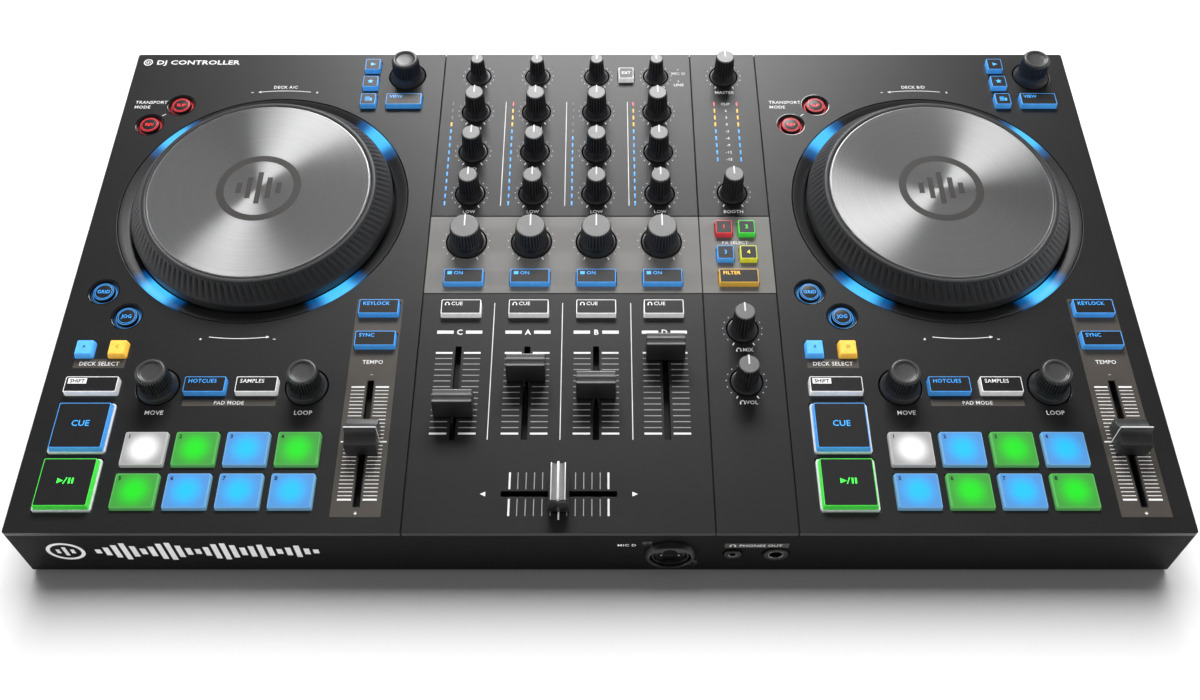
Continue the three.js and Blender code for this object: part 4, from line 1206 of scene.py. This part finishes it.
def legend_parts(legend, width, depth):
    """The sign or word on a key. Words sit towards its upper left corner."""
    level = (KEY_RISE, KEY_RISE + 0.08)
    left, upper = 2.0 - width / 2, depth / 2 - 2.6
    if legend in ("ON", "CUE"):
        word = letters(legend, 2.0, left + 3.0, upper, *level, align="LEFT")
        if legend == "ON":
            return [bar(left + 1.0, upper, 2.2, 1.9, *level), word]
        return [*headphones(left + 1.1, upper + 0.1, 2.3, *level), word]
    if legend == "SHIFT":
        return [bar(left + 3.9, upper, 8.8, 3.0, *level)]
    if legend == "star":
        return [star(0, 0, 1.7, *level)]
    if legend == "play":
        return [arrow(0, 0, 1.6, 0, *level)]
    if legend == "list":
        lines = [bar(-0.5, 1.1 - i * 1.1, 2.6, 0.5, *level) for i in range(3)]
        return [*lines, bar(1.6, -0.4, 1.1, 2.0, *level)]
    if width > SMALL:
        return [letters(legend, 2.0, left, upper, *level, align="LEFT")]
    return [letters(legend, 1.9 if len(legend) > 1 else 2.3, 0, 0.1, *level)]


def key_piece(name, body, x, y, width, colour, legend):
    depth = key_depth(width)
    shape = key_shape(width, depth)
    for part in legend_parts(legend, width, depth):
        shape.add(part, 2)
    if legend == "SHIFT":
        shape.add(letters(legend, 2.0, 5.9 - width / 2, depth / 2 - 2.6, KEY_RISE + 0.05,
                          KEY_RISE + 0.12, bold=0.3), 3)
    mesh = shape.mesh([KEY_BODY[colour], KEY_TOP, LEGEND[colour], INK])
    piece(name, mesh, body, (x, y, TOP), [body])


def lit_key_piece(name, body, x, y, colour, letter):
    """A deck selector: all of it glows, with a small dark letter."""
    shape = Shape()
    shape.add(cushion(LIT, LIT, KEY_FOOT, KEY_RISE - 0.15, 0.9, 0.5, 0.5, 0.15))
    shape.add(letters(letter, 1.7, 0, 0.3, KEY_RISE - 0.1, KEY_RISE + 0.04), 1)
    piece(name, shape.mesh([SELECTOR[colour], INK]), body, (x, y, TOP), [body])


def round_key_piece(name, body, x, y, colour, legend):
    """A small round button in a glossy bowl, with coloured rings and a legend."""
    shape = Shape()
    shape.add(turned([(8.2, -8), (8.2, -3.5), (7.0, -3.4), (5.9, -3.3), (5.55, -2.4), (5.3, -0.7),
                      (5.05, -0.2), (4.8, 0.05), (4.5, 0.14), (1.0, 0.16)], 64))
    shape.add(annulus(0, 0, 4.95, 4.72, -0.3, 0.18, steps=64), 1)
    shape.add(annulus(0, 0, 4.2, 4.0, -0.3, 0.22, steps=64), 2)
    shape.add(turned_ring([(5.5, -3.3), (6.2, -3.3), (6.1, -2.3), (5.8, -1.9), (5.5, -1.9)], 64),
              1)
    shape.add(letters(legend, 1.95, 0, 0, 0.1, 0.25, wide=0.95), 2)
    mesh = shape.mesh([KEY_TOP, KEY_BODY[colour], LEGEND[colour]], 30)
    piece(name, mesh, body, (x, y, TOP), [body])


def bowl_mesh():
    shape = Shape()
    shape.add(turned_ring([(7.35, -2.9), (7.35, 0.0), (8.0, 0.0), (7.95, 0.08), (7.5, 0.12),
                           (7.3, 0.05), (6.9, -0.6), (6.4, -2.0), (6.3, -2.9)], 64))
    return shape.mesh([GLOSS], 40)


def build_keys():
    for side, sign in SIDES.items():
        deck, body = sign * DECK_X, f"deck_keys_{side}"
        letter_of = dict(zip(("deck_one", "deck_two"), "AC" if sign < 0 else "BD"))
        for name, x, y, width, colour, legend in DECK_KEYS:
            if name in letter_of:
                lit_key_piece(f"{name}_key_{side}", body, deck + x, y, colour, letter_of[name])
            else:
                key_piece(f"{name}_key_{side}", body, deck + x, y, width, colour, legend)
        for name, x, y, colour, legend in ROUND_KEYS:
            round_key_piece(f"{name}_key_{side}", body, deck + x, y, colour, legend)
            piece(f"{name}_bowl_{side}", bowl_mesh(), at=(deck + x, y, TOP))
    for name, x, y, width, colour, legend in MIXER_KEYS:
        key_piece(f"{name}_key", "mixer_keys", x, y, width, colour, legend)


PAD_LIGHTS = {
    "left": [["white", "green", "blue", "green"], ["green", "blue", "blue", "blue"]],
    "right": [["white", "blue", "green", "blue"], ["blue", "green", "blue", "green"]],
}


def build_pads():
    for side, sign in SIDES.items():
        body = f"pads_{side}"
        for row, (y, lights) in enumerate(zip(PAD_ROWS, PAD_LIGHTS[side])):
            for column, light in enumerate(lights):
                number = 1 + row * 4 + column
                shape = Shape()
                shape.add(cushion(PAD_WIDTH, PAD_DEPTH, KEY_FOOT, 1.5, 1.0, 0.28, 0.2, 0.1))
                shape.add(letters(str(number), 2.0, 2.4 - PAD_WIDTH / 2, PAD_DEPTH / 2 - 2.6,
                                  1.4, 1.64, bold=0.15), 1)
                x = sign * DECK_X + PAD_X + column * PAD_PITCH
                piece(f"pad_{number}_{side}", shape.mesh([PAD_LOOK[light], INK]), body,
                      (x, y, TOP), [body])


def play_key_mesh(kind, colour):
    shape = Shape()
    shape.add(cushion(PLAY_WIDTH, PLAY_DEPTH, KEY_FOOT, 0.5, 1.6, 0.3, 0.15), 3)
    shape.add(cushion(PLAY_WIDTH - 1.3, PLAY_DEPTH - 1.3, -1, 3.3, 1.0, 0.2, 0.7))
    width, depth = PLAY_WIDTH - 3.5, PLAY_DEPTH - 3.5
    shape.add(loft([rounded(width, depth, 0.6, 3.0), rounded(width, depth, 0.6, 3.33),
                    rounded(width - 0.04, depth - 0.04, 0.58, 3.36)]), 1)
    level = (3.3, 3.4)
    if kind == "cue":
        signs = [letters("CUE", 3.0, 0, 1.0, *level, bold=0.08)]
    else:
        signs = [arrow(-2.6, 0.6, 1.7, 0, *level),
                 ribbon([(-0.75, -1.0), (0.55, 2.2)], 0.5, *level),
                 *[bar(x, 0.6, 0.85, 2.9, *level) for x in (1.8, 3.3)]]
    for sign in signs:
        shape.add(sign, 2)
    return shape.mesh([KEY_BODY[colour], KEY_TOP, LEGEND[colour], BEZEL_PAINTED_GLOW])


def build_play_keys():
    for kind, slot, colour in (("cue", "key_plastic", "blue"), ("play", "play_plastic", "green")):
        mesh = play_key_mesh(kind, colour)
        for side in SIDES:
            stand_in(f"{kind}_button_{side}", mesh)


# ------------------------------------------------------------------------------- sockets

SOCKET_LOOKS = [BLACK, METAL, BRASS, WALL]
# Places in a socket's material list. From EXTRA on they are the socket's own.
MOULDED, CONTACT, GILT, HOLLOW, EXTRA = range(5)


def add_jack(shape, x, z, proud):
    """A jack socket: a collar, a metal lip and a dark bore."""
    bore, ring = 3.2, 6.0
    shape.put(turned_ring([(bore, -16), (ring - 0.3, -16), (ring - 0.3, proud - 0.5),
                           (ring - 0.5, proud), (bore + 0.5, proud), (bore, proud - 0.4)]), x, z)
    shape.put(tube(bore + 0.35, bore - 0.05, proud - 1.2, proud - 0.1, 48, 0.1), x, z, CONTACT)
    shape.put(turned([(bore - 0.1, -15.5), (bore - 0.1, -15.0), (0.4, -15.0)], 32), x, z, HOLLOW)


def screw_parts(radius):
    """A cross-head screw: a domed head, and a dark bar for each slot."""
    head = turned([(radius, -0.6), (radius, 0.1), (radius * 0.9, 0.35), (radius * 0.55, 0.55),
                   (0.3, 0.6)], 32)
    slots = [cushion(*size, 0.3, 0.63, 0.05, 0.02) for size in ((radius, 0.5), (0.5, radius))]
    return [(head, MOULDED), *[(slot, HOLLOW) for slot in slots]]


def build_mic_socket():
    mic = WallShape(FRONT)
    centre = (MIC_X, MIC_Z)
    mic.put(turned_ring([(9.2, -25), (10.3, -25), (10.3, 0.02), (11.9, 0.05), (11.8, 0.9),
                         (11.2, 2.0), (10.6, 2.8), (10.2, 3.0), (9.6, 3.0), (9.3, 2.7),
                         (9.2, 2.2)], 96), *centre)
    mic.put(turned([(9.25, -25), (9.25, -24), (0.5, -24)]), *centre, HOLLOW)
    mic.put(turned_ring([(7.6, -20), (8.4, -20), (8.4, 1.6), (8.2, 1.9), (7.8, 1.9), (7.6, 1.6)],
                        96), *centre)
    mic.put(turned([(7.7, -20), (7.7, -0.1), (7.5, 0.1), (0.5, 0.1)], 96), *centre, EXTRA)
    mic.put(turned([(3.2, -3), (3.2, 0.12), (0.3, 0.14)]), *centre, HOLLOW)
    for angle in (90, 210, 330):
        x = MIC_X + 4.6 * math.cos(math.radians(angle))
        z = MIC_Z + 4.6 * math.sin(math.radians(angle))
        mic.put(turned([(2.0, -3), (2.0, 0.13), (0.2, 0.15)], 24), x, z, HOLLOW)
        mic.put(turned([(0.5, -3), (0.5, 0.2), (0.35, 0.35), (0.1, 0.4)], 16), x, z, CONTACT)
    mic.put(cushion(4.4, 1.6, 0.0, 2.3, 0.3, 0.15), MIC_X, MIC_Z + 8.6)
    for x, z in ((21.3, 32), (42.4, 11.6)):
        for part, material in screw_parts(2.6):
            mic.put(part, x, z, material)
    piece("mic_socket_look", mic.mesh([*SOCKET_LOOKS, GLOSS], 35),
          replaces=["mic_socket"])


def build_phones_sockets():
    phones = WallShape(FRONT)
    add_jack(phones, JACK_X, PHONES_Z, 1.0)
    centre = (MINI_X, PHONES_Z)
    phones.put(turned_ring([(1.8, -13), (4.0, -13), (4.0, 0.6), (3.7, 0.95), (2.3, 1.0),
                            (1.8, 0.7)]), *centre)
    phones.put(tube(2.15, 1.75, 0.2, 0.8, 32, 0.08), *centre, CONTACT)
    phones.put(turned([(1.75, -12.5), (1.75, -12), (0.2, -12)], 24), *centre, HOLLOW)
    piece("phones_sockets_look", phones.mesh(SOCKET_LOOKS, 35),
          replaces=["phones_sockets"])


def build_front_print():
    level, film = (0.01, 0.06), (0.0, 0.03)
    badge = (-241.5, 23.5)
    wave = [4, 8, 13, 17, 11, 6, 10, 16, 18, 12, 7, 5, 9, 15, 17, 13, 8, 11, 14, 9, 5, 8, 12, 6, 4]
    marks = WallShape(FRONT)
    marks.put(bar(70.4, 29.5, 28.8, 4.4, *film), material=1)
    for part in (letters("MIC D", 2.1, 12, 30, *level),
                 letters("PHONES OUT", 2.1, 72.2, 29.5, *level),
                 *headphones(59.6, 29.7, 2.9, *level),
                 annulus(*badge, 8.6, 6.9, *level, steps=64),
                 *sign_bars([4, 8.6, 4], 3.3, 1.7, *badge, *level),
                 *sign_bars(wave, 4.1, 2.5, -177.5, 23.5, *level)):
        marks.put(part)
    piece("front_print", marks.mesh([PRINT_FRONT_PAINTED_GLOW, FILM]))


def build_rear_sockets():
    rear = WallShape(REAR)
    for x in JACKS_X:
        add_jack(rear, x, REAR_Z, 3.0)
    for x, level in PHONOS:
        centre = (x, REAR_Z + level * PHONO_RISE)
        rear.put(turned_ring([(3.3, -8), (4.05, -8), (4.05, 2.6), (3.85, 3.0), (3.5, 3.0),
                              (3.3, 2.7)]), *centre, GILT)
        rear.put(turned_ring([(1.6, -8), (3.35, -8), (3.35, 1.6), (1.6, 1.6)]), *centre,
                 EXTRA if level > 0 else EXTRA + 1)
        rear.put(turned([(1.55, -7), (1.55, -6), (0.2, -6)], 24), *centre, HOLLOW)
    power = (POWER_X, REAR_Z)
    rear.put(turned_ring([(3.2, -10), (5.4, -10), (5.4, -0.4), (5.1, -0.15), (3.5, -0.15),
                          (3.2, -0.5)]), *power)
    rear.put(turned([(3.15, -9.8), (3.15, -9.3), (0.3, -9.3)], 24), *power, HOLLOW)
    rear.put(turned([(1.0, -9.4), (1.0, -1.4), (0.8, -1.1), (0.2, -1.0)], 24), *power, CONTACT)
    usb = (USB_X, REAR_Z)
    rear.put(loft([rounded(width, height, 0.5, z) for width, height, z in (
        (8.6, 8.0, -11), (12, 10.8, -11), (12, 10.8, -0.35), (11.6, 10.4, -0.1),
        (8.9, 8.3, -0.1), (8.6, 8.0, -0.4))], ring=True), *usb, CONTACT)
    rear.put(loft([rounded(8.5, 7.9, 0.5, z) for z in (-10.2, -10.8)]), *usb, HOLLOW)
    rear.put(loft([rounded(5.6, 3.2, 0.5, z) for z in (-10.5, -1.1)]), *usb)
    piece("rear_sockets_look", rear.mesh([*SOCKET_LOOKS, PHONO_RED, PHONO_WHITE], 35),
          replaces=["rear_sockets"])


def build_rear_print():
    marks = WallShape(REAR)
    marks.facing @= Matrix.Rotation(math.pi, 4, "Z")
    level = (0.0, 0.05)
    for text, x in (("LINE IN A", -60), ("LINE IN B", -35), ("BOOTH", 31), ("MASTER", 86),
                    ("MASTER", 125), ("USB", USB_X), ("DC", POWER_X)):
        marks.put(letters(text, 1.9, 0, 32.8, *level), x)
    for x, text in zip(JACKS_X, "RLRL"):
        marks.put(letters(text, 1.7, 0, 10.6, *level), x)
    piece("rear_print", marks.mesh([PRINT_PAINTED_GLOW]))


SCREW_X, SCREW_Y = (-236, -86, 88, 236), (-100, 100)


def build_base():
    for node, look in (("bottom_case", WALL), ("rubber_foot_front", FOOT),
                       ("rubber_foot_rear", FOOT), ("main_board", BOARD)):
        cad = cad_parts[node]
        cad.data.materials.clear()
        cad.data.materials.append(look)
        if look is FOOT:
            soften = cad.modifiers.new("soften", "BEVEL")
            soften.width, soften.segments = 0.6 * MM, 3
    screws = Shape()
    down = Matrix.Rotation(math.pi, 4, "X")
    for x in SCREW_X:
        for y in SCREW_Y:
            for part, material in screw_parts(3.0):
                screws.add(part, material, (x, y, WALL_BOTTOM - 0.1), down)
    piece("base_screws", screws.mesh(SOCKET_LOOKS, 35))


# ------------------------------------------------------------------------------- everything

for build in (build_panel, build_films, build_print, build_meters, build_walls, build_jogs,
              build_knobs, build_faders, build_keys, build_pads, build_play_keys,
              build_mic_socket, build_phones_sockets, build_front_print, build_rear_sockets,
              build_rear_print, build_base):
    build()

# ------------------------------------------------------------------------------- stage

scene = bpy.context.scene
scene.view_settings.view_transform = "Standard"


def area_light(name, place, target, width, depth, power, reflected):
    data = bpy.data.lights.new(name, "AREA")
    data.shape = "RECTANGLE"
    data.size, data.size_y = width, depth
    data.energy = power
    lamp = shown(name, data)
    lamp.location = place
    aim = Vector(target) - Vector(place)
    lamp.rotation_euler = aim.to_track_quat("-Z", "Y").to_euler()
    lamp.visible_glossy = reflected
    return lamp


def light_only(lamp, receivers, state):
    """Ties a lamp to some objects, or keeps the lamp off them."""
    group = bpy.data.collections.new(f"{lamp.name}_receivers")
    for receiver in receivers:
        group.objects.link(receiver)
    for entry in group.collection_objects:
        entry.light_linking.link_state = state
    lamp.light_linking.receiver_collection = group


FLOOR_SPAN, FLOOR_DEPTH = 9000, 20
FLOOR_LOOK = finish("floor_white", (0.82, 0.82, 0.82), 0.7, mottle=0.01, grain=2, relief=0.02,
                    patch=300, glow=0.03)
floor_shape = Shape()
floor_shape.add(bar(0, 0, FLOOR_SPAN, FLOOR_SPAN, -FLOOR_DEPTH, 0))
floor = shown("floor", floor_shape.mesh([FLOOR_LOOK]))

discs = [bpy.data.objects[f"wheel_disc_{side}"] for side in SIDES]
FROM_BACK = ((0, 1.25, 0.95), (0, 0.05, 0.04))
FROM_ABOVE = ((0, 0.8, 1.8), (0, 0, 0))
FROM_HIGH_BACK = ((0, 1.35, 1.15), (0, 0, 0))
# Lamps: name, place and target, width, depth, power, reflected, which objects, how
LAMPS = [
    ("back_softbox", FROM_BACK, 0.75, 0.45, 16.6, True, discs, "EXCLUDE"),
    ("disc_lamp", FROM_BACK, 0.6, 0.8, 10.5, True, discs, "INCLUDE"),
    ("disc_wash", FROM_ABOVE, 1.8, 1.3, 2, True, discs, "INCLUDE"),
    ("back_fill", FROM_HIGH_BACK, 1.2, 0.6, 38, False, [floor], "EXCLUDE"),
    ("overhead", FROM_ABOVE, 1.8, 1.3, 66, False, [floor], "INCLUDE"),
]
LAMPS += [(f"{side}_strip", ((sign * 1.2, -0.1, 0.35), (0, 0, 0.05)), 0.25, 0.9, 14, False,
           [floor, *discs], "EXCLUDE") for side, sign in SIDES.items()]
for name, beam, width, depth, power, reflected, receivers, state in LAMPS:
    light_only(area_light(name, *beam, width, depth, power, reflected), receivers, state)

# The sky's brightness by height: a bright horizon, a dark middle and a pale zenith
SKY = [(0.05, 0.85), (0.3, 0.06), (0.78, 0.06), (1.0, 0.26)]
world = bpy.data.worlds.new("studio")
world.use_nodes = True
nodes, links = world.node_tree.nodes, world.node_tree.links
background = nodes["Background"]
background.inputs["Color"].default_value = (1, 1, 1, 1)
heading = nodes.new("ShaderNodeTexCoord")
height = nodes.new("ShaderNodeSeparateXYZ")
links.new(heading.outputs["Generated"], height.inputs["Vector"])
sky = nodes.new("ShaderNodeValToRGB")
links.new(height.outputs["Z"], sky.inputs["Fac"])
stops = sky.color_ramp.elements
stops[0].position, stops[1].position = SKY[0][0], SKY[-1][0]
for level, _ in SKY[1:-1]:
    stops.new(level)
for stop, (_, brightness) in zip(stops, SKY):
    stop.color = (brightness, brightness, brightness, 1)
links.new(sky.outputs["Color"], background.inputs["Strength"])
scene.world = world

CAMERA_TILT = 53.7
camera_data = bpy.data.cameras.new("camera")
camera_data.sensor_width = 36
camera_data.lens = 39.86
camera_data.shift_y = -0.0667
camera = shown("camera", camera_data)
camera.location = (0, -0.4016, 0.5829)
camera.rotation_euler = (math.radians(90 - CAMERA_TILT), 0, 0)
scene.camera = camera
